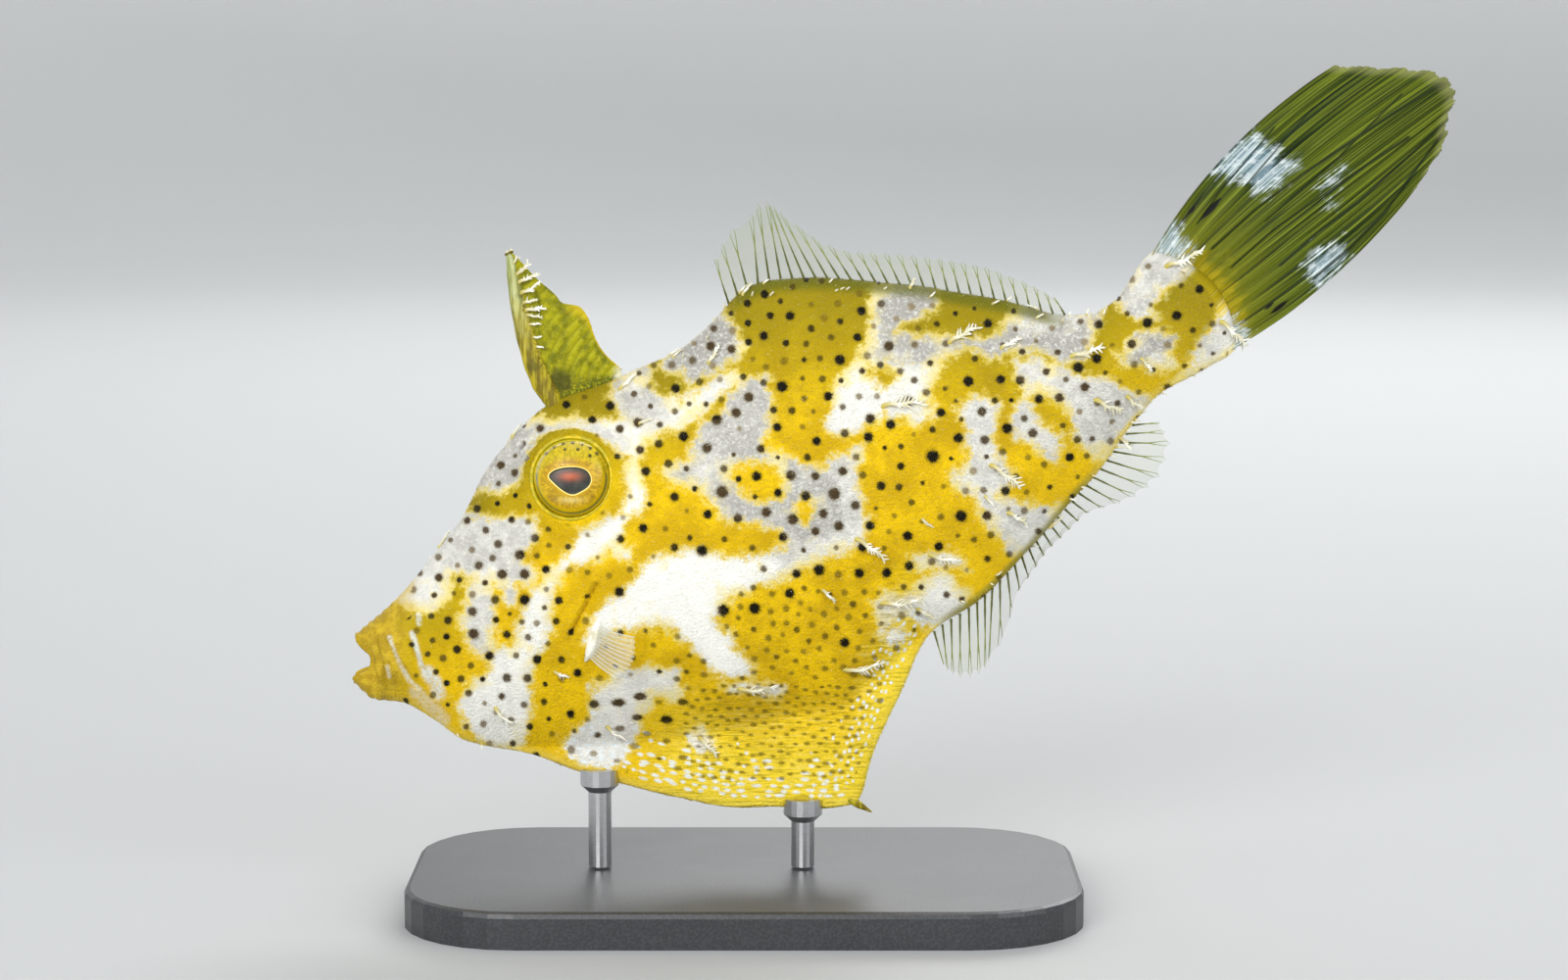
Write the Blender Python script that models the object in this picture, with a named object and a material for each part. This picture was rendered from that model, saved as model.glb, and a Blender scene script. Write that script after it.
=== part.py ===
"""Yellow spotted filefish: a still, life-size display model on a small stand.

The fish is compressed from side to side, so its body is lofted through upright sections. Each
section runs from a point on the back to a point on the belly line, and swells to both sides.
Sizes are in millimetres in the fish's own frame: x runs from the snout to the tail, y to the
fish's right flank, z up, with zero at the front of the mouth. place() moves a point to the
world, where the origin is under the middle of the model, on the surface that it stands on.
"""

import math
import random

import bmesh
import bpy
from mathutils import Matrix, Vector

MM = 0.001
GAP = 0.3

# Placing
SNOUT_HEIGHT = 34.8
MODEL_MID_X = 74.75
LEFT, RIGHT = -1, 1
SIDES = {"left": LEFT, "right": RIGHT}

# Sections of the body: back x and z, belly x and z, half width, half thickness of the upper and
# lower edge, share of the section that the thick body fills, and bow towards the tail
SECTIONS = [
    (0.2, 3.1, -0.5, -4.0, 2.6, 1.9, 1.00, 2.3),
    (2.5, 5.2, 2.3, -6.3, 4.5, 2.0, 1.00, 1.2),
    (6.3, 9.1, 6.0, -6.7, 5.3, 1.7, 1.00, 0.3),
    (10.4, 14.1, 10.4, -9.2, 6.2, 1.5, 1.00, 0.0),
    (14.3, 19.1, 14.3, -11.9, 7.2, 1.4, 1.00, 0.0),
    (18.3, 26.6, 17.9, -12.9, 8.6, 1.4, 1.00, 0.0),
    (25.3, 33.8, 21.4, -13.5, 9.8, 1.3, 0.99, 0.0),
    (37.1, 38.9, 25.1, -14.5, 11.0, 1.2, 0.97, 0.0),
    (43.8, 41.8, 32.7, -17.1, 11.7, 1.2, 0.93, 0.0),
    (48.0, 45.2, 42.2, -19.7, 12.0, 1.2, 0.88, 0.0),
    (51.1, 48.5, 53.0, -21.5, 12.0, 1.1, 0.84, 0.0),
    (54.7, 50.9, 63.1, -21.5, 11.6, 1.1, 0.82, 0.0),
    (58.4, 51.7, 68.3, -20.7, 11.1, 1.1, 0.82, 0.0),
    (63.1, 51.8, 71.0, -13.3, 10.5, 1.1, 0.86, 0.0),
    (69.0, 51.4, 74.3, -5.5, 9.8, 1.1, 0.92, 0.0),
    (75.7, 50.8, 78.3, 2.5, 8.8, 1.1, 0.98, 0.0),
    (83.0, 49.6, 85.3, 7.6, 7.6, 1.1, 1.00, 0.0),
    (90.3, 48.1, 93.3, 16.0, 6.4, 1.1, 1.00, 0.0),
    (96.3, 46.8, 101.0, 24.9, 5.2, 1.1, 1.00, 0.0),
    (99.9, 46.9, 106.5, 32.2, 4.3, 1.1, 1.00, 0.0),
    (103.5, 48.9, 109.8, 36.0, 3.7, 1.1, 1.00, 0.6),
    (105.2, 51.3, 113.8, 38.1, 3.1, 1.0, 1.00, 2.0),
    (107.2, 54.4, 118.9, 40.8, 2.2, 0.9, 1.00, 3.6),
]
WIDEST = 0.45
FULLNESS = 0.75
LIP_ROUNDING = 0.9

# Where the body is parted, as places along the sections
LIPS_END = 1.55
HEAD_END = 7.5
TORSO_END = 19.0
BODY_END = 22.0
FLAP_START, FLAP_END = 7.7, 14.8
FLAP_LAST_SECTION = 15.0
MOUTH_LINE = 0.57
# Where the lips swell forward round the open mouth: share from back to belly, width and push
LIP_SWELLS = [(0.12, 0.13, 0.9), (0.83, 0.1, 1.3)]
LIP_SWELLS_END = 1.8

# Face
EYE_X, EYE_Z = 30.0, 25.5
EYE_RADIUS = 5.3
EYE_BULGE = 3.4
EYE_SINK = 1.1
ORBIT_RADIUS = 6.3
ORBIT_BULGE = 2.9
ORBIT_SINK = 1.5
EYE_SIDEWAYS = 2.2
NOSTRILS = ((22.8, 29.4), (24.0, 27.6))
NOSTRIL_RADIUS = 0.42
GILL_TOP, GILL_LOW = (33.2, 11.3), (29.8, 4.8)
GILL_WIDTH, GILL_DEPTH = 0.8, 1.5
MOUTH_CAVITY = (3.4, 2.2, 1.3)

# Fins
MEMBRANE, RAY = 0.25, 0.42
DORSAL_SECTIONS = (9.9, 18.1)
DORSAL_RAYS = 28
DORSAL_HEIGHTS = [(0.0, 6.4), (0.035, 7.5), (0.1, 9.5), (0.14, 10.8), (0.2, 10.8), (0.26, 11.0), (0.31, 8.6),
                  (0.36, 6.2), (0.42, 5.0), (0.8, 4.8), (1.0, 2.8)]
DORSAL_LEAN = [(0.0, 25.0), (0.1, 14.0), (0.14, 5.0), (0.2, -14.0), (0.26, -26.0), (0.31, -33.0),
               (0.36, -38.0), (0.5, -32.0), (0.65, -24.0), (1.0, -30.0)]
DORSAL_TURN = [(0.0, -4.0), (0.2, 2.0), (0.35, 12.0), (0.6, 24.0), (0.85, 8.0), (1.0, 0.0)]
ANAL_SECTIONS = (15.15, 18.85)
ANAL_RAYS = 26
ANAL_HEIGHTS = [(0.0, 5.0), (0.03, 6.4), (0.1, 8.8), (0.15, 9.8), (0.27, 11.0), (0.36, 9.0), (0.5, 7.6),
                (0.75, 7.5), (0.86, 7.8), (0.93, 7.0), (1.0, 3.8)]
ANAL_LEAN = [(0.0, -26.0), (0.15, -33.0), (0.27, -48.0), (0.4, -30.0), (0.6, -6.0), (0.8, 14.0),
             (0.86, 20.0), (0.93, 36.0), (1.0, 44.0)]
ANAL_TURN = [(0.0, 4.0), (0.2, 0.0), (0.28, 12.0), (0.36, 56.0), (0.5, 70.0), (0.66, 64.0), (0.78, 24.0),
             (0.86, 2.0), (1.0, -6.0)]
TAIL_RAYS = 12
TAIL_TIPS = [(133.0, 80.4), (138.7, 80.2), (145.9, 79.8), (149.2, 78.2), (150.1, 76.0),
             (148.9, 73.3), (148.9, 70.7), (146.6, 66.7), (144.8, 63.9)]
TAIL_EDGE_BULGE = (2.3, -1.7)
PECTORAL_ROOT = ((33.0, 5.6), (31.8, 1.6))
PECTORAL_RAYS = 11
PECTORAL_LENGTH = 7.6
PECTORAL_SPREAD = (-10.0, -34.0)
PECTORAL_LEAN = 32.0
PECTORAL_BOW = 0.5
RAY_HALF_WIDTH = 0.1
SCALLOP = 0.06
FIN_CLEARANCE = GAP + 0.05
TAIL_SHARES = (0.03, 0.97)
TAIL_NOTCH = 0.985

# First dorsal spine and the skin behind it
SPINE_FRONT = [(25.9, 34.5), (24.4, 36.6), (23.2, 39.4), (22.0, 43.8), (21.2, 48.4), (20.8, 52.4),
               (20.7, 55.2)]
SPINE_REAR = [(28.2, 35.5), (27.2, 37.2), (26.0, 39.8), (24.5, 44.0), (23.2, 48.6), (22.3, 52.4),
              (21.5, 55.6)]
SPINE_HALF_THICKNESS = (1.1, 0.35)
VEIL_EDGE = [(21.9, 55.1), (23.6, 53.3), (25.3, 51.4), (27.7, 49.3), (28.6, 48.2), (30.7, 47.8),
             (31.7, 46.7), (32.2, 45.6), (32.5, 44.4), (33.1, 42.9), (34.2, 41.3), (36.3, 39.4)]
VEIL_ROOT_SECTIONS = (6.32, 6.93)
VEIL_ROOT_OFFSET = Vector((-0.25, 0.0, GAP + 0.35))
VEIL_FRONT_CLEARANCE = GAP + 0.35
VEIL_HALF_THICKNESS = (0.45, 0.3)

# Bend of the tail away from the left flank, as seen from above
BEND_FROM, BEND_TO, BEND_BY = 84.0, 149.0, 5.5

# Small spine at the corner of the belly flap
PELVIC_SPINE_SECTION = 12.0
PELVIC_SPINE_STOPS = (0.5, 1.4, 2.6)
PELVIC_SPINE_WIDTHS = (0.55, 0.4)
PELVIC_SPINE_AWAY = Vector((0.86, 0.0, -0.5))

# Skin flaps: x, z, direction in degrees from the tail's side up, and length
FLAPS_HEAD = [(11.4, 14.4, 100, 2.2), (20.8, 28.6, 110, 2.4), (20.0, -8.0, -70, 3.0),
              (37.4, 37.0, 60, 3.0)]
FLAPS_TORSO = [
    (44.2, 41.0, 80, 2.2), (52.6, 48.4, 110, 3.0), (49.0, 41.0, 25, 3.4),
    (69.6, 18.0, -28, 4.6), (63.2, 9.2, -40, 2.6), (76.6, 15.0, -25, 4.8), (73.6, 34.4, 12, 4.4),
    (82.2, 42.4, 38, 4.8), (86.6, 24.4, -30, 4.8), (88.8, 18.2, -38, 4.4), (71.6, 6.8, -12, 5.4),
    (97.6, 42.0, 2, 5.2), (100.0, 34.8, -20, 3.8), (91.0, 40.0, 20, 3.2),
]
FLAPS_BELLY = [(65.4, -5.4, -14, 4.4), (53.6, -8.6, -18, 4.6), (46.6, -12.6, -48, 4.0),
               (39.4, -15.0, -56, 2.4)]
FLAPS_TAIL = [(111.2, 51.8, 20, 4.4), (116.4, 43.4, -32, 4.4)]
FLAPS_SPINE = [(23.4, 51.6, 52, 2.6), (24.0, 49.4, 38, 2.6), (24.6, 46.8, 20, 2.2), (25.4, 43.6, 10, 1.8)]
FLAP_STEM = 0.34
FLAP_SINK = 1.0

# Stand
BASE_LENGTH, BASE_WIDTH, BASE_THICKNESS = 92.0, 54.0, 5.0
BASE_MID_X = 53.0
BASE_CORNER, BASE_EDGE = 16.0, 0.8
RODS = {"stand_rod_front": 33.0, "stand_rod_rear": 61.0}
ROD_RADIUS = 1.6
CUP_RADIUS, CUP_HEIGHT, CUP_RISE = 2.7, 3.2, 1.5

MATERIALS = {
    "yellow_skin": ((0.78, 0.52, 0.03), 0.55, 0.0),
    "lip_skin": ((0.72, 0.42, 0.05), 0.5, 0.0),
    "olive_fin": ((0.28, 0.33, 0.04), 0.5, 0.0),
    "clear_fin": ((0.45, 0.50, 0.30), 0.4, 0.0),
    "iris": ((0.75, 0.48, 0.04), 0.15, 0.0),
    "pale_spine": ((0.45, 0.45, 0.25), 0.5, 0.0),
    "stand_black": ((0.03, 0.03, 0.035), 0.35, 0.0),
    "stand_steel": ((0.62, 0.62, 0.63), 0.3, 1.0),
}


def clear_scene():
    for obj in list(bpy.data.objects):
        bpy.data.objects.remove(obj, do_unlink=True)


def place(point):
    """A point of the fish's frame, in millimetres, as a world point in metres, with the tail bent."""
    x, y, z = point
    share = min(1.0, max(0.0, (x - BEND_FROM) / (BEND_TO - BEND_FROM)))
    return Vector((x - MODEL_MID_X, y + BEND_BY * share * share, z + SNOUT_HEIGHT)) * MM


def smooth_through(values):
    """A smooth curve through evenly spaced values that never swings past them."""
    count = len(values)
    steps = [values[i + 1] - values[i] for i in range(count - 1)]
    slopes = [steps[0]]
    for i in range(1, count - 1):
        before, after = steps[i - 1], steps[i]
        slopes.append(2 * before * after / (before + after) if before * after > 0 else 0.0)
    slopes.append(steps[-1])

    def curve(at):
        i = min(count - 2, max(0, int(math.floor(at))))
        f = at - i
        rise = steps[i]
        a = slopes[i] + slopes[i + 1] - 2 * rise
        b = 3 * rise - 2 * slopes[i] - slopes[i + 1]
        return values[i] + f * (slopes[i] + f * (b + f * a))

    return curve


def table_curve(rows):
    """A value that follows a table of (share, value), straight between its rows."""

    def curve(at):
        for (a, low), (b, high) in zip(rows, rows[1:]):
            if at <= b:
                return low + (high - low) * (at - a) / (b - a)
        return rows[-1][1]

    return curve


def path_through(points):
    """A smooth plane curve through the points, as a function of a share from 0 to 1."""
    along_x = smooth_through([p[0] for p in points])
    along_z = smooth_through([p[1] for p in points])
    last = len(points) - 1
    return lambda share: Vector((along_x(share * last), 0.0, along_z(share * last)))


SECTION_CURVES = [smooth_through([row[i] for row in SECTIONS]) for i in range(8)]


def back_and_belly(s):
    values = [curve(s) for curve in SECTION_CURVES[:4]]
    return Vector((values[0], 0.0, values[1])), Vector((values[2], 0.0, values[3]))


def half_width(s, t):
    width, edge, share = (curve(s) for curve in SECTION_CURVES[4:7])
    width *= math.sqrt(1 - 0.5 * (1 - min(1.0, s / LIP_ROUNDING)) ** 2)
    inside = t / share
    body = 0.0
    if 0 < inside < 1:
        body = width * math.sin(math.pi * inside ** (math.log(0.5) / math.log(WIDEST))) ** FULLNESS
    slab = edge * math.sqrt(max(0.0, 1 - abs(2 * t - 1) ** 10))
    return (body**3 + slab**3) ** (1 / 3)


def mid_point(s, t):
    """The point of the fish's middle plane at section s and share t from back to belly."""
    back, belly = back_and_belly(s)
    line = belly - back
    tailward = Vector((-line.z, 0.0, line.x)).normalized()
    swell = sum(push * math.exp(-(((t - share) / width) ** 2)) for share, width, push in LIP_SWELLS)
    fading = max(0.0, 1 - s / LIP_SWELLS_END) ** 2
    return back + line * t + tailward * (SECTION_CURVES[7](s) * 4 * t * (1 - t) - swell * fading)


def flank(s, t, side):
    point = mid_point(s, t)
    point.y = side * half_width(s, t)
    return point


def section_at(x, z):
    """The section and share that show at x, z from the side."""
    target = Vector((x, 0.0, z))
    steps_s, steps_t, halvings = 88, 40, 12
    best = min(
        ((i * BODY_END / steps_s, j / steps_t) for i in range(steps_s + 1) for j in range(steps_t + 1)),
        key=lambda st: (mid_point(*st) - target).length_squared,
    )
    s, t = best
    reach_s, reach_t = BODY_END / steps_s, 1 / steps_t
    for _ in range(halvings):
        reach_s, reach_t = reach_s / 2, reach_t / 2
        near = [
            (min(BODY_END, max(0, s + a * reach_s)), min(1, max(0, t + b * reach_t)))
            for a in (-1, 0, 1)
            for b in (-1, 0, 1)
        ]
        s, t = min(near, key=lambda st: (mid_point(*st) - target).length_squared)
    return s, t


FOUND_SECTIONS = {}


def found_section(x, z):
    """section_at, searched for once only."""
    key = (round(x, 3), round(z, 3))
    if key not in FOUND_SECTIONS:
        FOUND_SECTIONS[key] = section_at(*key)
    return FOUND_SECTIONS[key]


def flank_normal(s, t, side):
    step = 0.02
    t = min(0.98, max(0.02, t))
    along = flank(s + step, t, side) - flank(s - step, t, side)
    down = flank(s, t + step, side) - flank(s, t - step, side)
    normal = along.cross(down).normalized()
    return normal if normal.y * side > 0 else -normal


def add_material(obj, name):
    material = bpy.data.materials.get(name)
    if material is None:
        colour, roughness, metallic = MATERIALS[name]
        material = bpy.data.materials.new(name)
        material.use_nodes = True
        shader = material.node_tree.nodes["Principled BSDF"]
        shader.inputs["Base Color"].default_value = (*colour, 1.0)
        shader.inputs["Roughness"].default_value = roughness
        shader.inputs["Metallic"].default_value = metallic
    obj.data.materials.append(material)


def add_object(name, points, faces, material=None, smooth_angle=math.radians(50)):
    """A mesh object from millimetre points in the fish's frame."""
    mesh = bpy.data.meshes.new(name)
    mesh.from_pydata([place(p) for p in points], [], faces)
    bm = bmesh.new()
    bm.from_mesh(mesh)
    bmesh.ops.remove_doubles(bm, verts=bm.verts, dist=0.004 * MM)
    bmesh.ops.dissolve_degenerate(bm, edges=bm.edges, dist=0.002 * MM)
    bmesh.ops.triangulate(bm, faces=[f for f in bm.faces if len(f.verts) > 3])
    bmesh.ops.recalc_face_normals(bm, faces=bm.faces)
    bm.to_mesh(mesh)
    bm.free()
    mesh.shade_smooth()
    mesh.set_sharp_from_angle(angle=smooth_angle)
    obj = bpy.data.objects.new(name, mesh)
    bpy.context.scene.collection.objects.link(obj)
    if material:
        add_material(obj, material)
    return obj


def grid_faces(rows, columns, offset=0, flip=False):
    """Triangles of a grid of rows by columns points, cut along the same diagonals either way round."""
    faces = []
    for i in range(rows - 1):
        for j in range(columns - 1):
            a = offset + i * columns + j
            b, c, d = a + 1, a + columns + 1, a + columns
            pair = [(a, b, c), (a, c, d)]
            faces += [tuple(reversed(f)) for f in pair] if flip else pair
    return faces


def stitched_faces(rows, columns):
    """Faces of two grids, one behind the other, and of the band that joins their rims."""
    half = rows * columns
    faces = grid_faces(rows, columns) + grid_faces(rows, columns, half, flip=True)
    rim = [j for j in range(columns)]
    rim += [i * columns + columns - 1 for i in range(1, rows)]
    rim += [(rows - 1) * columns + j for j in range(columns - 2, -1, -1)]
    rim += [i * columns for i in range(rows - 2, 0, -1)]
    for a, b in zip(rim, rim[1:] + rim[:1]):
        faces += [(a, b, b + half), (a, b + half, a + half)]
    return faces


def stops_between(first, last, steps):
    return [first + (last - first) * i / steps for i in range(steps + 1)]


def loft(name, stops, share_from, share_to, rings, material):
    """A closed stretch of the body through the sections in stops, and between two shares of them."""
    points = []
    for side in (LEFT, RIGHT):
        for s in stops:
            low, high = share_from(s), share_to(s)
            for j in range(rings + 1):
                eased = (1 - math.cos(math.pi * j / rings)) / 2
                points.append(flank(s, low + (high - low) * eased, side))
    return add_object(name, points, stitched_faces(len(stops), rings + 1), material)


def whole(_s):
    return 1.0


def none(_s):
    return 0.0


def flap_share(s):
    """Where the line between the torso and the belly flap crosses section s."""
    back, belly = back_and_belly(s)
    start, end = back_and_belly(HEAD_END)[1], back_and_belly(FLAP_LAST_SECTION)[1]
    line, run, away = belly - back, end - start, start - back
    share = (away.x * run.z - away.z * run.x) / (line.x * run.z - line.z * run.x)
    return min(1.0, share)


def part_from(s, toward):
    """A section moved off a cut so that half the gap is left on this side of it."""
    reach = 0.05
    moved = [a - b for a, b in zip(back_and_belly(s + reach * toward), back_and_belly(s))]
    slowest = min(v.length for v in moved) / reach
    return s + toward * GAP / 2 / slowest


def gap_share(s):
    back, belly = back_and_belly(s)
    return GAP / 2 / (belly - back).length


def sheet(name, point, thickness, columns, rows, material):
    """A thin closed sheet about a mid surface point(u, v), with half its thickness given there."""
    step = 0.01
    fronts, backs = [], []
    for i in range(columns + 1):
        for j in range(rows + 1):
            u, v = i / columns, j / rows
            a, b = min(1 - step, max(step, u)), min(1 - step, max(step, v))
            across = point(a + step, b) - point(a - step, b)
            up = point(a, b + step) - point(a, b - step)
            normal = across.cross(up)
            normal = normal.normalized() if normal.length > 1e-9 else Vector((0, -1, 0))
            half = normal * thickness(u, v)
            fronts.append(point(u, v) + half)
            backs.append(point(u, v) - half)
    return add_object(name, fronts + backs, stitched_faces(columns + 1, rows + 1), material)


def ray_thickness(rays, tip_share=0.7):
    """Half thickness of a fin: a ridge along each ray, and the thin membrane between them."""

    def thickness(u, v):
        at = u * (rays - 1)
        on_ray = abs(at - round(at)) < RAY_HALF_WIDTH
        ray = RAY + (MEMBRANE - RAY) * max(0.0, v - tip_share) / (1 - tip_share)
        return ray if on_ray else MEMBRANE

    return thickness


def keep_largest(obj):
    """Keeps only the largest closed surface of a node."""
    bm = bmesh.new()
    bm.from_mesh(obj.data)
    bm.faces.ensure_lookup_table()
    left, groups = set(bm.faces), []
    while left:
        stack = [left.pop()]
        group = set(stack)
        while stack:
            for edge in stack.pop().edges:
                for face in edge.link_faces:
                    if face in left:
                        left.remove(face)
                        group.add(face)
                        stack.append(face)
        groups.append(group)
    groups.sort(key=lambda g: sum(f.calc_area() for f in g))
    bmesh.ops.delete(bm, geom=[f for g in groups[:-1] for f in g], context="FACES")
    bmesh.ops.triangulate(bm, faces=[f for f in bm.faces if len(f.verts) > 3])
    bm.to_mesh(obj.data)
    bm.free()


def combine(obj, tools, operation):
    """Joins tools to a node, or cuts them from it, in one applied Boolean."""
    collection = bpy.data.collections.new(f"{obj.name}_tools")
    bpy.context.scene.collection.children.link(collection)
    for tool in tools:
        for user in list(tool.users_collection):
            user.objects.unlink(tool)
        collection.objects.link(tool)
    modifier = obj.modifiers.new(operation.lower(), "BOOLEAN")
    modifier.operation = operation
    modifier.solver = "EXACT"
    modifier.operand_type = "COLLECTION"
    modifier.collection = collection
    graph = bpy.context.evaluated_depsgraph_get()
    made = bpy.data.meshes.new_from_object(obj.evaluated_get(graph))
    obj.modifiers.clear()
    obj.data = made
    for tool in tools:
        bpy.data.objects.remove(tool, do_unlink=True)
    bpy.data.collections.remove(collection)
    keep_largest(obj)


def ball(name, centre, radii, axis, segments=24, rings=12):
    """An ellipsoid with its third radius along axis."""
    turn = Vector((0, 0, 1)).rotation_difference(Vector(axis)).to_matrix()
    points, faces = [], []
    for i in range(1, rings):
        polar = math.pi * i / rings
        for j in range(segments):
            round_at = math.tau * j / segments
            unit = Vector(
                (math.sin(polar) * math.cos(round_at), math.sin(polar) * math.sin(round_at), math.cos(polar))
            )
            points.append(Vector(centre) + turn @ Vector(a * b for a, b in zip(unit, radii)))
    top, bottom = len(points), len(points) + 1
    pole = turn @ Vector((0, 0, radii[2]))
    points += [Vector(centre) + pole, Vector(centre) - pole]
    for i in range(rings - 2):
        for j in range(segments):
            a, b = i * segments + j, i * segments + (j + 1) % segments
            faces += [(a, b, b + segments), (a, b + segments, a + segments)]
    last = (rings - 2) * segments
    for j in range(segments):
        after = (j + 1) % segments
        faces += [(top, after, j), (bottom, last + j, last + after)]
    return add_object(name, points, faces)


def eye_frame(side, sink):
    """Centre and outward axis of one eye, sunk under the flank of the head."""
    s, t = section_at(EYE_X, EYE_Z)
    surface = flank(s, t, side)
    axis = (flank_normal(s, t, side) + Vector((0, EYE_SIDEWAYS * side, 0))).normalized()
    return surface - axis * sink, axis


def tapered_limb(name, stops, widths, sides=4):
    """A closed limb through the stops, with its half width at each, ending in a point."""
    points, faces = [], []
    for k, (stop, width) in enumerate(zip(stops[:-1], widths)):
        ahead = (stops[k + 1] - stops[max(0, k - 1)]).normalized()
        across = ahead.cross(Vector((0.0, 1.0, 0.21))).normalized()
        other = ahead.cross(across)
        for j in range(sides):
            turn = math.tau * (j + 0.5) / sides
            points.append(stop + (across * math.cos(turn) + other * math.sin(turn)) * width)
    for k in range(len(stops) - 2):
        for j in range(sides):
            a, b = k * sides + j, k * sides + (j + 1) % sides
            faces += [(a, b, b + sides), (a, b + sides, a + sides)]
    tip = len(points)
    points.append(stops[-1])
    last = (len(stops) - 2) * sides
    faces += [(last + j, last + (j + 1) % sides, tip) for j in range(sides)]
    faces.append(tuple(range(sides - 1, -1, -1)))
    return add_object(name, points, faces)


def skin_flap(name, root, out, along, length, chance):
    """A branched skin flap: a stem that rises from the skin and bends along it, with two side twigs."""
    stops = [root - out * FLAP_SINK, root + (out * 0.16 + along * 0.14) * length]
    stops.append(stops[1] + (along * 0.9 + out * 0.12) * length * 0.8)
    pieces = [tapered_limb(name, stops, (FLAP_STEM, FLAP_STEM * 0.9))]
    across = out.cross(along).normalized()
    for k, hand in enumerate((1, -1)):
        start = stops[1].lerp(stops[2], 0.15 + 0.3 * k)
        reach = along * 0.6 + across * hand * 0.75 + out * chance.uniform(0.0, 0.35)
        twig = [start - reach * 0.15, start + reach * length * 0.34]
        pieces.append(tapered_limb(f"{name}_{k}", twig, [FLAP_STEM * 0.7], 3))
    return pieces


def grow_flaps(obj, rows, chance):
    """Fuses skin flaps to both flanks of a node."""
    tools = []
    for side in (LEFT, RIGHT):
        for k, (x, z, lean, length) in enumerate(rows):
            s, t = section_at(x, z)
            root = flank(s, t, side)
            out = flank_normal(s, t, side)
            turned = math.radians(lean + chance.uniform(-6, 6) * (side > 0))
            along = Vector((math.cos(turned), 0.0, math.sin(turned)))
            along = (along - out * along.dot(out)).normalized()
            tools += skin_flap(f"{obj.name}_flap_{side}_{k}", root, out, along, length, chance)
    combine(obj, tools, "UNION")


def make_lips():
    """Upper and lower lip, parted along the mouth, with the front of the mouth hollowed."""
    end = part_from(LIPS_END, -1)
    stops = stops_between(0.0, end, 7)
    upper = loft("upper_lip", stops, none, lambda s: MOUTH_LINE - gap_share(s), 12, "lip_skin")
    lower = loft("lower_lip", stops, lambda s: MOUTH_LINE + gap_share(s), whole, 12, "lip_skin")
    for lip in (upper, lower):
        cavity = ball(f"{lip.name}_cavity", mid_point(0.0, MOUTH_LINE), MOUTH_CAVITY, (0, 0, 1), 14, 8)
        combine(lip, [cavity], "DIFFERENCE")


def make_head(chance):
    """Head with raised orbits, eye sockets, nostrils and gill slits."""
    stops = stops_between(part_from(LIPS_END, 1), part_from(HEAD_END, -1), 18)
    head = loft("head", stops, none, whole, 20, "yellow_skin")
    mounds, sockets = [], []
    for name, side in SIDES.items():
        centre, axis = eye_frame(side, ORBIT_SINK)
        mounds.append(ball(f"orbit_{name}", centre, (ORBIT_RADIUS, ORBIT_RADIUS, ORBIT_BULGE), axis, 22, 8))
        centre, axis = eye_frame(side, EYE_SINK)
        radius = EYE_RADIUS + GAP
        sockets.append(ball(f"socket_{name}", centre, (radius, radius, EYE_BULGE + GAP), axis, 22, 8))
        for k, (x, z) in enumerate(NOSTRILS):
            s, t = section_at(x, z)
            radii = (NOSTRIL_RADIUS, NOSTRIL_RADIUS, 2 * NOSTRIL_RADIUS)
            centre, axis = flank(s, t, side), flank_normal(s, t, side)
            sockets.append(ball(f"nostril_{name}_{k}", centre, radii, axis, 8, 6))
    combine(head, mounds, "UNION")
    combine(head, sockets + gill_slits(), "DIFFERENCE")
    grow_flaps(head, FLAPS_HEAD, chance)


def gill_slits():
    top, low = Vector((GILL_TOP[0], 0, GILL_TOP[1])), Vector((GILL_LOW[0], 0, GILL_LOW[1]))
    middle = (top + low) / 2
    s, t = section_at(middle.x, middle.z)
    slits = []
    for name, side in SIDES.items():
        radii = (GILL_WIDTH / 2, GILL_DEPTH, (top - low).length / 2)
        slit = ball(f"gill_{name}", (0, 0, 0), radii, (0, 0, 1), 8, 8)
        turn = Matrix.Rotation(math.atan2(top.x - low.x, top.z - low.z), 4, "Y")
        slit.data.transform(Matrix.Translation(-place((0, 0, 0))))
        slit.data.transform(Matrix.Translation(place(flank(s, t, side))) @ turn)
        slits.append(slit)
    return slits


def make_eyes():
    for name, side in SIDES.items():
        centre, axis = eye_frame(side, EYE_SINK)
        eye = ball(f"eye_{name}", centre, (EYE_RADIUS, EYE_RADIUS, EYE_BULGE), axis, 20, 8)
        add_material(eye, "iris")


def make_torso(chance):
    """Torso, from the head to the end of the fins, above the belly flap."""

    def floor_share(s):
        return flap_share(s) - gap_share(s) if s <= FLAP_LAST_SECTION else 1.0

    stops = stops_between(part_from(HEAD_END, 1), FLAP_LAST_SECTION, 14)
    stops += stops_between(FLAP_LAST_SECTION, part_from(TORSO_END, -1), 8)[1:]
    torso = loft("torso", stops, none, floor_share, 20, "yellow_skin")
    grow_flaps(torso, FLAPS_TORSO, chance)


def make_belly_flap(chance):
    """The fan of skin under the belly, and the small spine at the end of the pelvis."""
    stops = stops_between(FLAP_START, FLAP_END, 16)
    belly = loft("belly_flap", stops, lambda s: flap_share(s) + gap_share(s), whole, 8, "yellow_skin")
    grow_flaps(belly, FLAPS_BELLY, chance)
    corner = back_and_belly(PELVIC_SPINE_SECTION)[1]
    stops = [corner + PELVIC_SPINE_AWAY * along for along in PELVIC_SPINE_STOPS]
    spine = tapered_limb("pelvic_spine", stops, PELVIC_SPINE_WIDTHS, 6)
    add_material(spine, "pale_spine")


def make_tail_base(chance):
    stops = stops_between(part_from(TORSO_END, 1), BODY_END, 9)
    tail = loft("tail_base", stops, none, whole, 16, "yellow_skin")
    grow_flaps(tail, FLAPS_TAIL, chance)


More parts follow.
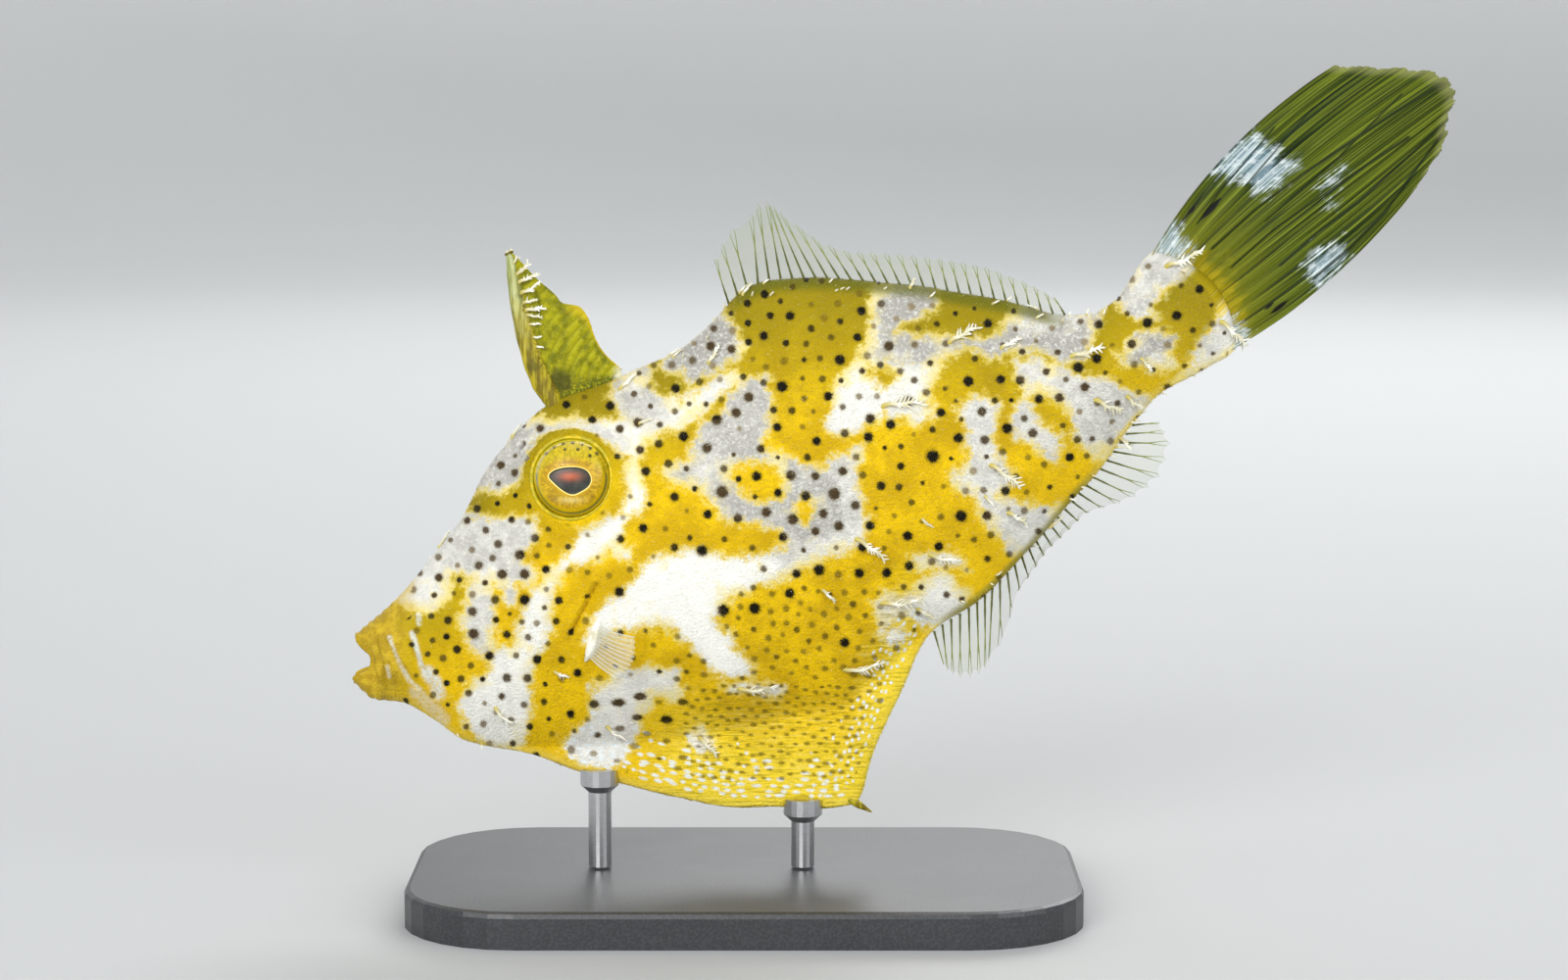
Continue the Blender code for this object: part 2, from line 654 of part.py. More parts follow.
def even_sections(first, last, edge):
    """A function from a share of the length of the back or the belly line to its section."""
    stops = stops_between(first, last, 160)
    lengths = [0.0]
    for a, b in zip(stops, stops[1:]):
        lengths.append(lengths[-1] + (back_and_belly(b)[edge] - back_and_belly(a)[edge]).length)
    return table_curve([(length / lengths[-1], s) for length, s in zip(lengths, stops)])


def edge_fin(name, sections, rays, heights, leans, turns, edge, material):
    """A long fin along the back (edge 0) or the belly line (edge 1), its rays leaning and turning aside."""
    height_at, lean_at, turn_at = table_curve(heights), table_curve(leans), table_curve(turns)
    section_of = even_sections(*sections, edge)

    def point(u, v):
        s = section_of(u)
        here = back_and_belly(s)[edge]
        run = (back_and_belly(s + 0.05)[edge] - back_and_belly(s - 0.05)[edge]).normalized()
        outward = Vector((-run.z, 0, run.x)) * (1 if edge == 0 else -1)
        lean, turn = math.radians(lean_at(u)), math.radians(turn_at(u) * (0.4 + 0.6 * v))
        ray = outward * math.cos(lean) + run * math.sin(lean)
        ray = ray * math.cos(turn) + Vector((0, math.sin(turn), 0))
        at = u * (rays - 1)
        scallop = SCALLOP * v if abs(at - round(at)) > RAY_HALF_WIDTH else 0.0
        return here + outward * FIN_CLEARANCE + ray * height_at(u) * v * (1 - scallop)

    return sheet(name, point, ray_thickness(rays), 2 * (rays - 1), 4, material)


def make_tail_fin():
    """Tail fin: rays that fan from the flesh to a ragged end."""
    tips = path_through(TAIL_TIPS)

    def point(u, v):
        root = mid_point(BODY_END, TAIL_SHARES[0] + (TAIL_SHARES[1] - TAIL_SHARES[0]) * u)
        back, belly = back_and_belly(BODY_END)
        tailward = Vector((back.z - belly.z, 0, belly.x - back.x)).normalized()
        root = root + tailward * FIN_CLEARANCE
        tip = tips(u)
        at = u * (TAIL_RAYS - 1)
        if abs(at - round(at)) > RAY_HALF_WIDTH:
            tip = root.lerp(tip, TAIL_NOTCH)
        chord = tip - root
        side_way = Vector((-chord.z, 0, chord.x)).normalized()
        bulge = TAIL_EDGE_BULGE[0] + (TAIL_EDGE_BULGE[1] - TAIL_EDGE_BULGE[0]) * u
        return root + chord * v + side_way * bulge * 4 * v * (1 - v)

    return sheet("tail_fin", point, ray_thickness(TAIL_RAYS), 2 * (TAIL_RAYS - 1), 8, "olive_fin")


def make_pectoral_fins():
    for name, side in SIDES.items():
        (x0, z0), (x1, z1) = PECTORAL_ROOT
        s, t = section_at((x0 + x1) / 2, (z0 + z1) / 2)
        out = flank_normal(s, t, side)
        lean = math.radians(PECTORAL_LEAN)

        def point(u, v, side=side, out=out, lean=lean):
            root = flank(*found_section(x0 + (x1 - x0) * u, z0 + (z1 - z0) * u), side)
            root += out * (GAP + MEMBRANE)
            turned = math.radians(PECTORAL_SPREAD[0] + (PECTORAL_SPREAD[1] - PECTORAL_SPREAD[0]) * u)
            length = PECTORAL_LENGTH * (0.72 + 0.28 * math.sin(math.pi * (0.15 + 0.8 * u)))
            ray = Vector((math.cos(turned), side * math.tan(lean), math.sin(turned))) * math.cos(lean)
            return root + ray * length * v + out * PECTORAL_BOW * math.sin(math.pi * v)

        columns = 2 * (PECTORAL_RAYS - 1)
        sheet(f"pectoral_fin_{name}", point, ray_thickness(PECTORAL_RAYS), columns, 4, "clear_fin")


def make_dorsal_spine(chance):
    """The erect spine over the eye, and the skin that joins it to the back."""
    front, rear = path_through(SPINE_FRONT), path_through(SPINE_REAR)
    thick, thin = SPINE_HALF_THICKNESS

    def spine_point(u, v):
        return front(v).lerp(rear(v), u)

    def spine_thickness(u, v):
        return (thick + (thin - thick) * v) * math.sqrt(max(0.02, 1 - (2 * u - 1) ** 2))

    spine = sheet("dorsal_spine", spine_point, spine_thickness, 6, 12, "pale_spine")
    tools = []
    for side in (LEFT, RIGHT):
        for k, (_x, z, lean, length) in enumerate(FLAPS_SPINE):
            out = Vector((0, side, 0))
            turned = math.radians(lean)
            along = Vector((math.cos(turned), 0.25 * side, math.sin(turned))).normalized()
            share = (z - SPINE_REAR[0][1]) / (SPINE_REAR[-1][1] - SPINE_REAR[0][1])
            root = spine_point(0.6, share) + out * 0.35
            tools += skin_flap(f"spine_flap_{side}_{k}", root, out, along, length, chance)
    combine(spine, tools, "UNION")

    edge = path_through(VEIL_EDGE)
    first_root = back_and_belly(VEIL_ROOT_SECTIONS[0])[0] + VEIL_ROOT_OFFSET

    def veil_point(u, v):
        s = VEIL_ROOT_SECTIONS[0] + (VEIL_ROOT_SECTIONS[1] - VEIL_ROOT_SECTIONS[0]) * u**1.6
        root = back_and_belly(s)[0] + VEIL_ROOT_OFFSET
        front_edge = rear(v) + Vector((VEIL_FRONT_CLEARANCE, 0, 0.8 * (1 - v)))
        straight = first_root.lerp(edge(0.0), v)
        return root.lerp(edge(u), v) + (front_edge - straight) * (1 - u) ** 2

    def veil_thickness(_u, v):
        low, top = VEIL_HALF_THICKNESS
        return low + (top - low) * v

    sheet("spine_veil", veil_point, veil_thickness, 16, 6, "olive_fin")


def make_fins():
    edge_fin(
        "dorsal_fin", DORSAL_SECTIONS, DORSAL_RAYS, DORSAL_HEIGHTS, DORSAL_LEAN, DORSAL_TURN, 0, "clear_fin"
    )
    edge_fin("anal_fin", ANAL_SECTIONS, ANAL_RAYS, ANAL_HEIGHTS, ANAL_LEAN, ANAL_TURN, 1, "clear_fin")
    make_tail_fin()
    make_pectoral_fins()


def make_stand():
    """A flat base with rounded corners, and two rods whose cups carry the fish."""
    bm = bmesh.new()
    bmesh.ops.create_cube(bm, size=1.0)
    bmesh.ops.scale(bm, vec=Vector((BASE_LENGTH, BASE_WIDTH, BASE_THICKNESS)) * MM, verts=bm.verts)
    upright = [e for e in bm.edges if abs((e.verts[0].co - e.verts[1].co).normalized().z) > 0.9]
    bmesh.ops.bevel(bm, geom=upright, offset=BASE_CORNER * MM, segments=7, profile=0.5, affect="EDGES")
    top = [e for e in bm.edges if all(v.co.z > 0 for v in e.verts)]
    bmesh.ops.bevel(bm, geom=top, offset=BASE_EDGE * MM, segments=2, profile=0.5, affect="EDGES")
    bmesh.ops.triangulate(bm, faces=bm.faces)
    mesh = bpy.data.meshes.new("stand_base")
    bm.to_mesh(mesh)
    bm.free()
    base = bpy.data.objects.new("stand_base", mesh)
    base.location = Vector((BASE_MID_X - MODEL_MID_X, 0, BASE_THICKNESS / 2)) * MM
    bpy.context.scene.collection.objects.link(base)
    add_material(base, "stand_black")

    floor_z = -SNOUT_HEIGHT + BASE_THICKNESS + GAP
    for name, x in RODS.items():
        belly_line = [back_and_belly(i / 20)[1] for i in range(140, 300)]
        top_z = min(point.z for point in belly_line if abs(point.x - x) < 0.6) + CUP_RISE
        cup_z = top_z - CUP_HEIGHT
        profile = [(ROD_RADIUS, floor_z), (ROD_RADIUS, cup_z), (CUP_RADIUS, cup_z + 1.0), (CUP_RADIUS, top_z)]
        rod = turned_rod(name, x, profile)
        body = loft(f"{name}_cutter", stops_between(6.6, 15.4, 30), none, whole, 26, None)
        swell = body.modifiers.new("swell", "DISPLACE")
        swell.mid_level = 0.0
        swell.strength = (GAP + 0.1) * MM
        combine(rod, [body], "DIFFERENCE")
        add_material(rod, "stand_steel")


def turned_rod(name, x, profile, sides=20):
    points, faces = [], []
    for radius, z in profile:
        for j in range(sides):
            turn = math.tau * j / sides
            points.append(Vector((x + radius * math.cos(turn), radius * math.sin(turn), z)))
    for k in range(len(profile) - 1):
        for j in range(sides):
            a, b = k * sides + j, k * sides + (j + 1) % sides
            faces += [(a, b, b + sides), (a, b + sides, a + sides)]
    faces.append(tuple(range(sides - 1, -1, -1)))
    last = (len(profile) - 1) * sides
    faces.append(tuple(range(last, last + sides)))
    return add_object(name, points, faces)


def main():
    clear_scene()
    chance = random.Random(7)
    make_lips()
    make_head(chance)
    make_eyes()
    make_torso(chance)
    make_belly_flap(chance)
    make_tail_base(chance)
    make_dorsal_spine(chance)
    make_fins()
    make_stand()


main()
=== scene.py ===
"""The dressed filefish: one skin over the flesh, its coat of bristles, skin flaps, fins and eyes.

Shapes are worked out in millimetres in the fish's own frame: x from the snout to the tail, y to
its right flank, z up, with zero at the front of the mouth. to_world() places them in the model.
Markings are placed as they show in the 1600 by 1000 photograph, in pixels, and picture_place()
says where a point of the left flank shows there. The right flank carries a shifted copy.
"""

import math

import bpy
import numpy as np
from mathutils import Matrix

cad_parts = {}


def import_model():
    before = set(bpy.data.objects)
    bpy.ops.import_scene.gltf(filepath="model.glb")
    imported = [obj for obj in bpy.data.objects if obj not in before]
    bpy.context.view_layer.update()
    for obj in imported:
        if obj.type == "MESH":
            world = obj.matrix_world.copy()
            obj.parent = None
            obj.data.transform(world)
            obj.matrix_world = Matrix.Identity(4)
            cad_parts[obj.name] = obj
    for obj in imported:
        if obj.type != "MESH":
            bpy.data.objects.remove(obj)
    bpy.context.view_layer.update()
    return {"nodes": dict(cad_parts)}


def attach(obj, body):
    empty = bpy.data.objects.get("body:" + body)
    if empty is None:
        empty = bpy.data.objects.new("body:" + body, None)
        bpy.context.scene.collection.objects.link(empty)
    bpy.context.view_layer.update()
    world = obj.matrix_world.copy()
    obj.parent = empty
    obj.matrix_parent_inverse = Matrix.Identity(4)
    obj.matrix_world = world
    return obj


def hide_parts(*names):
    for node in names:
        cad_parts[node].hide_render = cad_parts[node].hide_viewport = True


MM = 0.001
SNOUT_HEIGHT = 34.8
MODEL_MID_X = 74.75
BEND_FROM, BEND_TO, BEND_BY = 84.0, 149.0, 5.5
LEFT, RIGHT = -1, 1
SIDES = {"left": LEFT, "right": RIGHT}

# Camera, as the photograph was taken
LENS, SENSOR = 85.0, 36.0
CAMERA_DISTANCE = 505.7
CAMERA_TILT = math.radians(7)
CAMERA_AIM = (58.4, 0.0, 22.8)
PICTURE_WIDTH, PICTURE_HEIGHT = 1600, 1000

# Stage, in metres
FLOOR_RADIUS, FLOOR_BOW, WALL_HEIGHT = 1.3, 0.9, 2.4

# Sections of the body: back x and z, belly x and z, half width, half thickness of the upper and
# lower edge, share of the section that the thick body fills, and bow towards the tail
SECTIONS = [
    (0.2, 3.1, -0.5, -4.0, 2.6, 1.9, 1.00, 2.3),
    (2.5, 5.2, 2.3, -6.3, 4.5, 2.0, 1.00, 1.2),
    (6.3, 9.1, 6.0, -6.7, 5.3, 1.7, 1.00, 0.3),
    (10.4, 14.1, 10.4, -9.2, 6.2, 1.5, 1.00, 0.0),
    (14.3, 19.1, 14.3, -11.9, 7.2, 1.4, 1.00, 0.0),
    (18.3, 26.6, 17.9, -12.9, 8.6, 1.4, 1.00, 0.0),
    (25.3, 33.8, 21.4, -13.5, 9.8, 1.3, 0.99, 0.0),
    (37.1, 38.9, 25.1, -14.5, 11.0, 1.2, 0.97, 0.0),
    (43.8, 41.8, 32.7, -17.1, 11.7, 1.2, 0.93, 0.0),
    (48.0, 45.2, 42.2, -19.7, 12.0, 1.2, 0.88, 0.0),
    (51.1, 48.5, 53.0, -21.5, 12.0, 1.1, 0.84, 0.0),
    (54.7, 50.9, 63.1, -21.5, 11.6, 1.1, 0.82, 0.0),
    (58.4, 51.7, 68.3, -20.7, 11.1, 1.1, 0.82, 0.0),
    (63.1, 51.8, 71.0, -13.3, 10.5, 1.1, 0.86, 0.0),
    (69.0, 51.4, 74.3, -5.5, 9.8, 1.1, 0.92, 0.0),
    (75.7, 50.8, 78.3, 2.5, 8.8, 1.1, 0.98, 0.0),
    (83.0, 49.6, 85.3, 7.6, 7.6, 1.1, 1.00, 0.0),
    (90.3, 48.1, 93.3, 16.0, 6.4, 1.1, 1.00, 0.0),
    (96.3, 46.8, 101.0, 24.9, 5.2, 1.1, 1.00, 0.0),
    (99.9, 46.9, 106.5, 32.2, 4.3, 1.1, 1.00, 0.0),
    (103.5, 48.9, 109.8, 36.0, 3.7, 1.1, 1.00, 0.6),
    (105.2, 51.3, 113.8, 38.1, 3.1, 1.0, 1.00, 2.0),
    (107.2, 54.4, 118.9, 40.8, 2.2, 0.9, 1.00, 3.6),
]
BODY_END = 22.0
WIDEST = 0.45
FULLNESS = 0.75
LIP_ROUNDING = 0.9
MOUTH_LINE = 0.57
# Where the lips swell forward round the open mouth: share from back to belly, width and push
LIP_SWELLS = [(0.12, 0.13, 0.9), (0.83, 0.1, 1.3)]
LIP_SWELLS_END = 1.8

# Hills of the skin: how far apart, seed and height
HILLS = [(17.0, 21, 0.16), (6.0, 22, 0.06)]
GILL_SLIT = ((33.2, 11.3), (29.8, 4.6))
GILL_MIDDLE = (31.5, 8.0)
GILL_SLOPE = 0.52
# Creases beside the mouth: start, end and depth
LIP_CREASES = [
    ((4.3, 2.4), (8.0, -3.6), 0.32),
    ((7.2, 2.6), (9.6, -1.8), 0.26),
    ((2.4, 3.2), (4.6, -4.6), 0.22),
    ((9.4, -1.2), (11.0, -5.2), 0.2),
]
# Sections between which a marking rises, and between which it ends
DORSAL_BASE = (9.8, 10.6, 17.4, 18.3)
ANAL_BASE = (15.0, 15.6, 17.6, 18.2)
FLAP_SPAN = (8.2, 9.5, 14.2, 14.9)
FLAP_CORNER = 12.0
# Sections behind which short flaps grow close together
DORSAL_FRINGE, ANAL_FRINGE = 8.6, 15.2
# Uneven values: waves that are added up, their stretch, and the sum that counts as 1
WAVE_COUNT = 7
WAVE_STRETCH = (0.6, 1.5)
WAVE_REACH = 4.2
# Skin
SKIN_STEP = 0.3
SKIN_COLUMNS = 208
COAT_DEPTH = 0.12
BRISTLES = 120000
COAT_PIECES = 3
BRISTLE_LENGTH = 0.34
BRISTLE_WIDTH = 0.075
# A tuft's patch of the OFBake map, about its root's place
MAP_PATCH = 0.0015 * np.array([(-1, -1), (1, -1), (1, 1), (-1, 1)])
# Directions of a bristle's three base corners about its normal
BRISTLE_TURNS = (math.pi, 1.05, -1.05)
# Stem and twigs of a skin flap: shares of the stem's length with its radii, and radii of a twig
STEM_RADII = ((0, 0.15, 0.8, 1), (0.4, 0.31, 0.19, 0.05))
TWIG_RADII = (0.17, 0.15, 0.12, 0.03)
# Rings that carry the skin round the lips into the mouth: height, width and depth
MOUTH_RINGS = [
    (1.0, 0.985, -0.28), (0.9, 0.95, -0.42), (0.74, 0.9, -0.32), (0.5, 0.84, 0.1), (0.3, 0.78, 0.8),
    (0.18, 0.7, 1.8), (0.14, 0.6, 2.8), (0.1, 0.4, 3.4), (0.02, 0.04, 3.6),
]
FLESH_END_LENGTH = 1.5
FLESH_END_RINGS = 7

# Eyes
EYE_X, EYE_Z = 30.0, 25.5
EYE_RADIUS = 5.3
EYE_BULGE = 3.4
EYE_SINK = 1.1
IRIS_GROOVE = 4.72
# Dots over the eye: distance from its middle, and directions in degrees
EYE_DOTS = [(4.75, (44, 58, 72, 88, 104, 120, 136)), (3.95, (50, 76, 102))]
PUPIL = [
    (-3.15, 0.3), (-2.2, 1.1), (-1.0, 1.4), (0.2, 1.5), (1.4, 1.4), (2.35, 0.95), (2.85, -0.15),
    (2.45, -1.15), (1.4, -1.8), (0.3, -2.3), (-1.0, -1.7), (-2.2, -0.65),
]

NOSTRILS = ((22.8, 29.4), (24.0, 27.6))
NOSTRIL_RADIUS = 0.42

# Fins, as in the solids
DORSAL_SECTIONS = (9.9, 18.1)
DORSAL_RAYS = 30
DORSAL_HEIGHTS = [
    (0.0, 6.4), (0.035, 7.5), (0.1, 9.5), (0.14, 10.8), (0.2, 10.8), (0.26, 11.0), (0.31, 8.6),
    (0.36, 6.2), (0.42, 5.0), (0.8, 4.8), (1.0, 2.8),
]
DORSAL_LEAN = [
    (0.0, 25.0), (0.1, 14.0), (0.14, 5.0), (0.2, -14.0), (0.26, -26.0), (0.31, -33.0), (0.36, -38.0),
    (0.5, -32.0), (0.65, -24.0), (1.0, -30.0),
]
DORSAL_TURN = [(0.0, -4.0), (0.2, 2.0), (0.35, 12.0), (0.6, 24.0), (0.85, 8.0), (1.0, 0.0)]
ANAL_SECTIONS = (15.15, 18.85)
ANAL_RAYS = 28
ANAL_HEIGHTS = [
    (0.0, 5.0), (0.03, 6.4), (0.1, 8.8), (0.15, 9.8), (0.27, 11.0), (0.36, 9.0), (0.5, 7.6),
    (0.75, 7.5), (0.86, 7.8), (0.93, 7.0), (1.0, 3.8),
]
ANAL_LEAN = [
    (0.0, -26.0), (0.15, -33.0), (0.27, -48.0), (0.4, -30.0), (0.6, -6.0), (0.8, 14.0), (0.86, 20.0),
    (0.93, 36.0), (1.0, 44.0),
]
ANAL_TURN = [
    (0.0, 4.0), (0.2, 0.0), (0.28, 12.0), (0.36, 56.0), (0.5, 70.0), (0.66, 64.0), (0.78, 24.0),
    (0.86, 2.0), (1.0, -6.0),
]
# Long fins: 0 for the back or 1 for the belly line, sections, number of rays and the tables along them
LONG_FINS = {
    "dorsal_fin": (0, DORSAL_SECTIONS, DORSAL_RAYS, DORSAL_HEIGHTS, DORSAL_LEAN, DORSAL_TURN),
    "anal_fin": (1, ANAL_SECTIONS, ANAL_RAYS, ANAL_HEIGHTS, ANAL_LEAN, ANAL_TURN),
}
FIN_HALF_THICKNESS = 0.03
FIN_SINK = 0.35
# Streaks of a clear fin's material between two rays
RAY_STREAKS = 1.6
TAIL_RAY_COLUMNS = 24
TAIL_ROWS = 110
TAIL_FRAYS = 54
TAIL_RAYS = 12
TAIL_TIPS = [
    (133.0, 80.4), (138.7, 80.2), (145.9, 79.8), (149.2, 78.2), (150.1, 76.0), (148.9, 73.3),
    (148.9, 70.7), (146.6, 66.7), (144.8, 63.9),
]
TAIL_EDGE_BULGE = (2.3, -1.7)
PECTORAL_ROOT = ((33.0, 5.6), (31.8, 1.6))
PECTORAL_RAYS = 11
PECTORAL_LENGTH = 7.6
PECTORAL_SPREAD = (-10.0, -34.0)
PECTORAL_LEAN = 32.0

# First dorsal spine and the skin behind it
SPINE_FRONT = [
    (25.9, 34.5), (24.4, 36.6), (23.2, 39.4), (22.0, 43.8), (21.2, 48.4), (20.8, 52.4), (20.7, 55.2),
]
SPINE_REAR = [
    (28.2, 35.5), (27.2, 37.2), (26.0, 39.8), (24.5, 44.0), (23.2, 48.6), (22.3, 52.4), (21.5, 55.6),
]
SPINE_HALF_THICKNESS = (1.1, 0.35)
VEIL_EDGE = [
    (21.9, 55.1), (23.6, 53.3), (25.3, 51.4), (27.7, 49.3), (28.6, 48.2), (30.7, 47.8), (31.7, 46.7),
    (32.2, 45.6), (32.5, 44.4), (33.1, 42.9), (34.2, 41.3), (36.3, 39.4),
]
SPINE_BARBS = 54
VEIL_HALF_THICKNESS = 0.14
# Arcs of the veil, its pale corner and its dark blotch
VEIL_ARCS_MIDDLE = (37.5, 0.0, 37.0)
VEIL_ARC_PITCH = 1.15
VEIL_CORNER = (36.8, 0.0, 38.4)
VEIL_BLOTCH = (28.0, 0.0, 37.8)
VEIL_ROOT_SECTIONS = (6.32, 6.93)
# Feathery flaps of the spine's rear edge: height, direction in degrees from the tail's side up, length
SPINE_TUFTS = [
    (53.6, 62, 1.2), (52.3, 46, 2.5), (51.2, 34, 3.0), (50.0, 18, 3.3), (48.6, 24, 2.2),
    (47.6, 12, 3.0), (46.6, 2, 2.3), (45.2, 6, 1.8), (43.9, -8, 1.3), (42.6, 4, 1.1),
]

# White patches of the left flank as they show in the photograph, in pixels, with how grey each is
PATCHES = {
    "forehead": (0.75, [
        (478, 502), (486, 470), (508, 440), (530, 420), (553, 428), (556, 436), (547, 446), (541, 460),
        (537, 478), (530, 492), (515, 501), (497, 500),
    ]),
    "snout": (0.5, [
        (366, 634), (396, 588), (440, 536), (462, 518), (490, 528), (520, 529), (546, 528), (549, 541),
        (542, 556), (533, 565), (533, 575), (548, 580), (546, 592), (537, 597), (527, 594), (524, 618),
        (517, 618), (514, 600), (502, 596), (503, 625), (505, 655), (496, 668), (486, 666), (478, 652),
        (470, 638), (477, 618), (479, 592), (470, 583), (458, 590), (455, 612), (440, 624), (418, 626),
        (392, 626),
    ]),
    "cheek": (0.1, [
        (598, 431), (640, 426), (688, 402), (702, 410), (690, 430), (672, 440), (657, 452), (653, 470),
        (656, 490), (660, 512), (654, 523), (642, 529), (634, 545), (630, 553), (645, 562), (640, 571),
        (622, 562), (606, 571), (588, 576), (571, 588), (563, 610), (561, 645), (549, 668), (541, 690),
        (541, 730), (532, 775), (498, 770), (478, 742), (466, 722), (478, 701), (497, 688), (503, 668),
        (520, 660), (527, 645), (535, 620), (545, 603), (556, 587), (568, 577), (581, 560), (591, 545),
        (612, 534), (630, 524), (640, 505), (641, 470), (637, 450), (620, 440),
    ]),
    "brow": (0.4, [
        (530, 446), (546, 434), (566, 428), (590, 427), (614, 429), (634, 438), (648, 452), (650, 472),
        (636, 464), (622, 452), (606, 445), (588, 442), (566, 443), (548, 450), (538, 458),
    ]),
    "behind spine": (0.7, [
        (620, 402), (634, 378), (652, 368), (662, 378), (660, 392), (672, 404), (700, 410), (690, 430),
        (655, 446), (636, 430),
    ]),
    "nape": (0.95, [
        (672, 372), (698, 342), (735, 316), (746, 332), (758, 350), (750, 366), (738, 374), (720, 384),
        (706, 388), (696, 381), (684, 380),
    ]),
    "shoulder band": (0.2, [
        (655, 415), (690, 408), (715, 396), (745, 380), (758, 386), (735, 402), (712, 424), (690, 440),
        (668, 438),
    ]),
    "middle": (0.75, [
        (744, 402), (760, 388), (784, 384), (787, 410), (783, 440), (776, 456), (792, 464), (812, 472),
        (836, 480), (852, 468), (870, 458), (883, 453), (876, 470), (874, 492), (880, 510), (881, 535),
        (878, 552), (858, 562), (838, 570), (815, 580), (800, 590), (786, 590), (790, 566), (804, 556),
        (796, 542), (776, 534), (758, 531), (744, 534), (735, 524), (727, 512), (714, 500), (700, 494),
        (682, 489), (676, 480), (688, 474), (702, 468), (706, 455), (712, 440), (722, 430), (736, 424),
    ]),
    "middle column": (0.0, [
        (846, 474), (870, 458), (883, 453), (876, 470), (874, 492), (880, 510), (881, 535), (878, 552),
        (858, 562), (838, 570), (832, 548), (842, 520), (840, 495),
    ]),
    "bright band": (0.0, [
        (884, 528), (880, 556), (858, 564), (832, 574), (815, 582), (800, 592), (784, 598), (774, 592),
        (774, 570), (792, 564), (806, 562), (808, 550), (826, 546), (846, 542), (864, 536),
    ]),
    "pectoral": (0.0, [
        (596, 656), (602, 636), (612, 621), (632, 607), (648, 591), (664, 572), (690, 564), (706, 562),
        (725, 565), (745, 568), (775, 570), (778, 590), (766, 601), (750, 607), (738, 618), (726, 630),
        (730, 638), (744, 646), (748, 658), (755, 668), (768, 679), (762, 689), (742, 693), (728, 688),
        (720, 676), (708, 662), (694, 650), (690, 642), (655, 640), (630, 645), (612, 655),
    ]),
    "belly": (0.2, [
        (604, 702), (622, 692), (632, 684), (662, 681), (690, 684), (694, 700), (702, 704), (690, 715),
        (670, 712), (662, 722), (655, 735), (650, 752), (640, 768), (630, 784), (600, 782), (578, 772),
        (574, 755), (590, 745), (600, 735), (604, 720),
    ]),
    "flap spot": (0.0, [(703, 750), (716, 743), (727, 750), (726, 762), (714, 769), (704, 760)]),
    "flap line": (0.1, [(740, 698), (770, 697), (800, 703), (796, 714), (768, 709), (744, 706)]),
    "flap root": (0.1, [
        (905, 604), (925, 608), (935, 602), (945, 590), (960, 584), (976, 592), (985, 608), (992, 626),
        (980, 642), (960, 648), (945, 641), (925, 628), (915, 632), (905, 641), (896, 632), (892, 616),
    ]),
    "flap root low": (0.0, [(898, 644), (915, 640), (927, 648), (918, 660), (902, 657)]),
    "low streak": (0.1, [
        (930, 572), (950, 566), (968, 564), (980, 572), (986, 582), (972, 580), (955, 578), (938, 582),
    ]),
    "back": (0.95, [
        (888, 298), (915, 284), (945, 288), (957, 297), (953, 314), (940, 324), (922, 328), (914, 337),
        (940, 345), (970, 343), (1000, 346), (1022, 342), (1030, 328), (1034, 316), (1044, 304),
        (1065, 304), (1085, 308), (1105, 310), (1122, 310), (1119, 335), (1110, 350), (1104, 368),
        (1085, 372), (1072, 362), (1058, 355), (1040, 361), (1025, 359), (1012, 366), (1000, 358),
        (984, 351), (970, 364), (952, 372), (930, 374), (905, 378), (886, 372), (886, 340), (890, 320),
    ]),
    "saddle": (0.15, [
        (886, 352), (900, 362), (922, 368), (950, 368), (962, 372), (950, 390), (947, 408), (952, 424),
        (940, 432), (920, 426), (902, 422), (884, 433), (866, 443), (850, 441), (843, 432), (851, 416),
        (850, 400), (860, 384), (872, 370),
    ]),
    "rear column": (0.35, [
        (976, 418), (990, 408), (1006, 404), (1017, 413), (1017, 432), (1013, 446), (1018, 456),
        (1020, 470), (1031, 478), (1037, 488), (1029, 497), (1020, 506), (1038, 511), (1060, 518),
        (1082, 516), (1096, 520), (1080, 548), (1060, 566), (1046, 575), (1030, 560), (1020, 545),
        (1010, 535), (1000, 520), (992, 508), (977, 500), (970, 488), (979, 478), (991, 468),
        (986, 455), (990, 440), (984, 430),
    ]),
    "rear": (0.45, [
        (1035, 368), (1060, 364), (1075, 372), (1092, 380), (1112, 383), (1135, 388), (1150, 400),
        (1168, 404), (1184, 410), (1165, 428), (1148, 442), (1132, 458), (1122, 466), (1110, 458),
        (1099, 454), (1097, 440), (1092, 425), (1084, 411), (1070, 403), (1060, 400), (1056, 412),
        (1060, 428), (1067, 436), (1081, 445), (1084, 458), (1077, 471), (1065, 462), (1050, 452),
        (1036, 445), (1034, 425), (1040, 410), (1044, 395), (1037, 382),
    ]),
    "anal sheath": (0.1, [
        (1120, 466), (1138, 450), (1158, 424), (1172, 424), (1160, 448), (1148, 466), (1132, 474),
    ]),
    "tail top": (0.6, [
        (1138, 304), (1152, 274), (1160, 250), (1192, 240), (1228, 256), (1216, 272), (1197, 290),
        (1185, 302), (1174, 314), (1180, 324), (1160, 327), (1148, 316),
    ]),
    "tail middle": (1.0, [
        (1138, 362), (1150, 352), (1164, 340), (1184, 337), (1198, 345), (1194, 362), (1204, 374),
        (1182, 379), (1160, 373), (1147, 369),
    ]),
    "tail low": (0.4, [
        (1198, 392), (1213, 371), (1224, 350), (1238, 334), (1244, 314), (1262, 312), (1282, 330),
        (1276, 366), (1252, 384), (1226, 392), (1206, 400),
    ]),
}
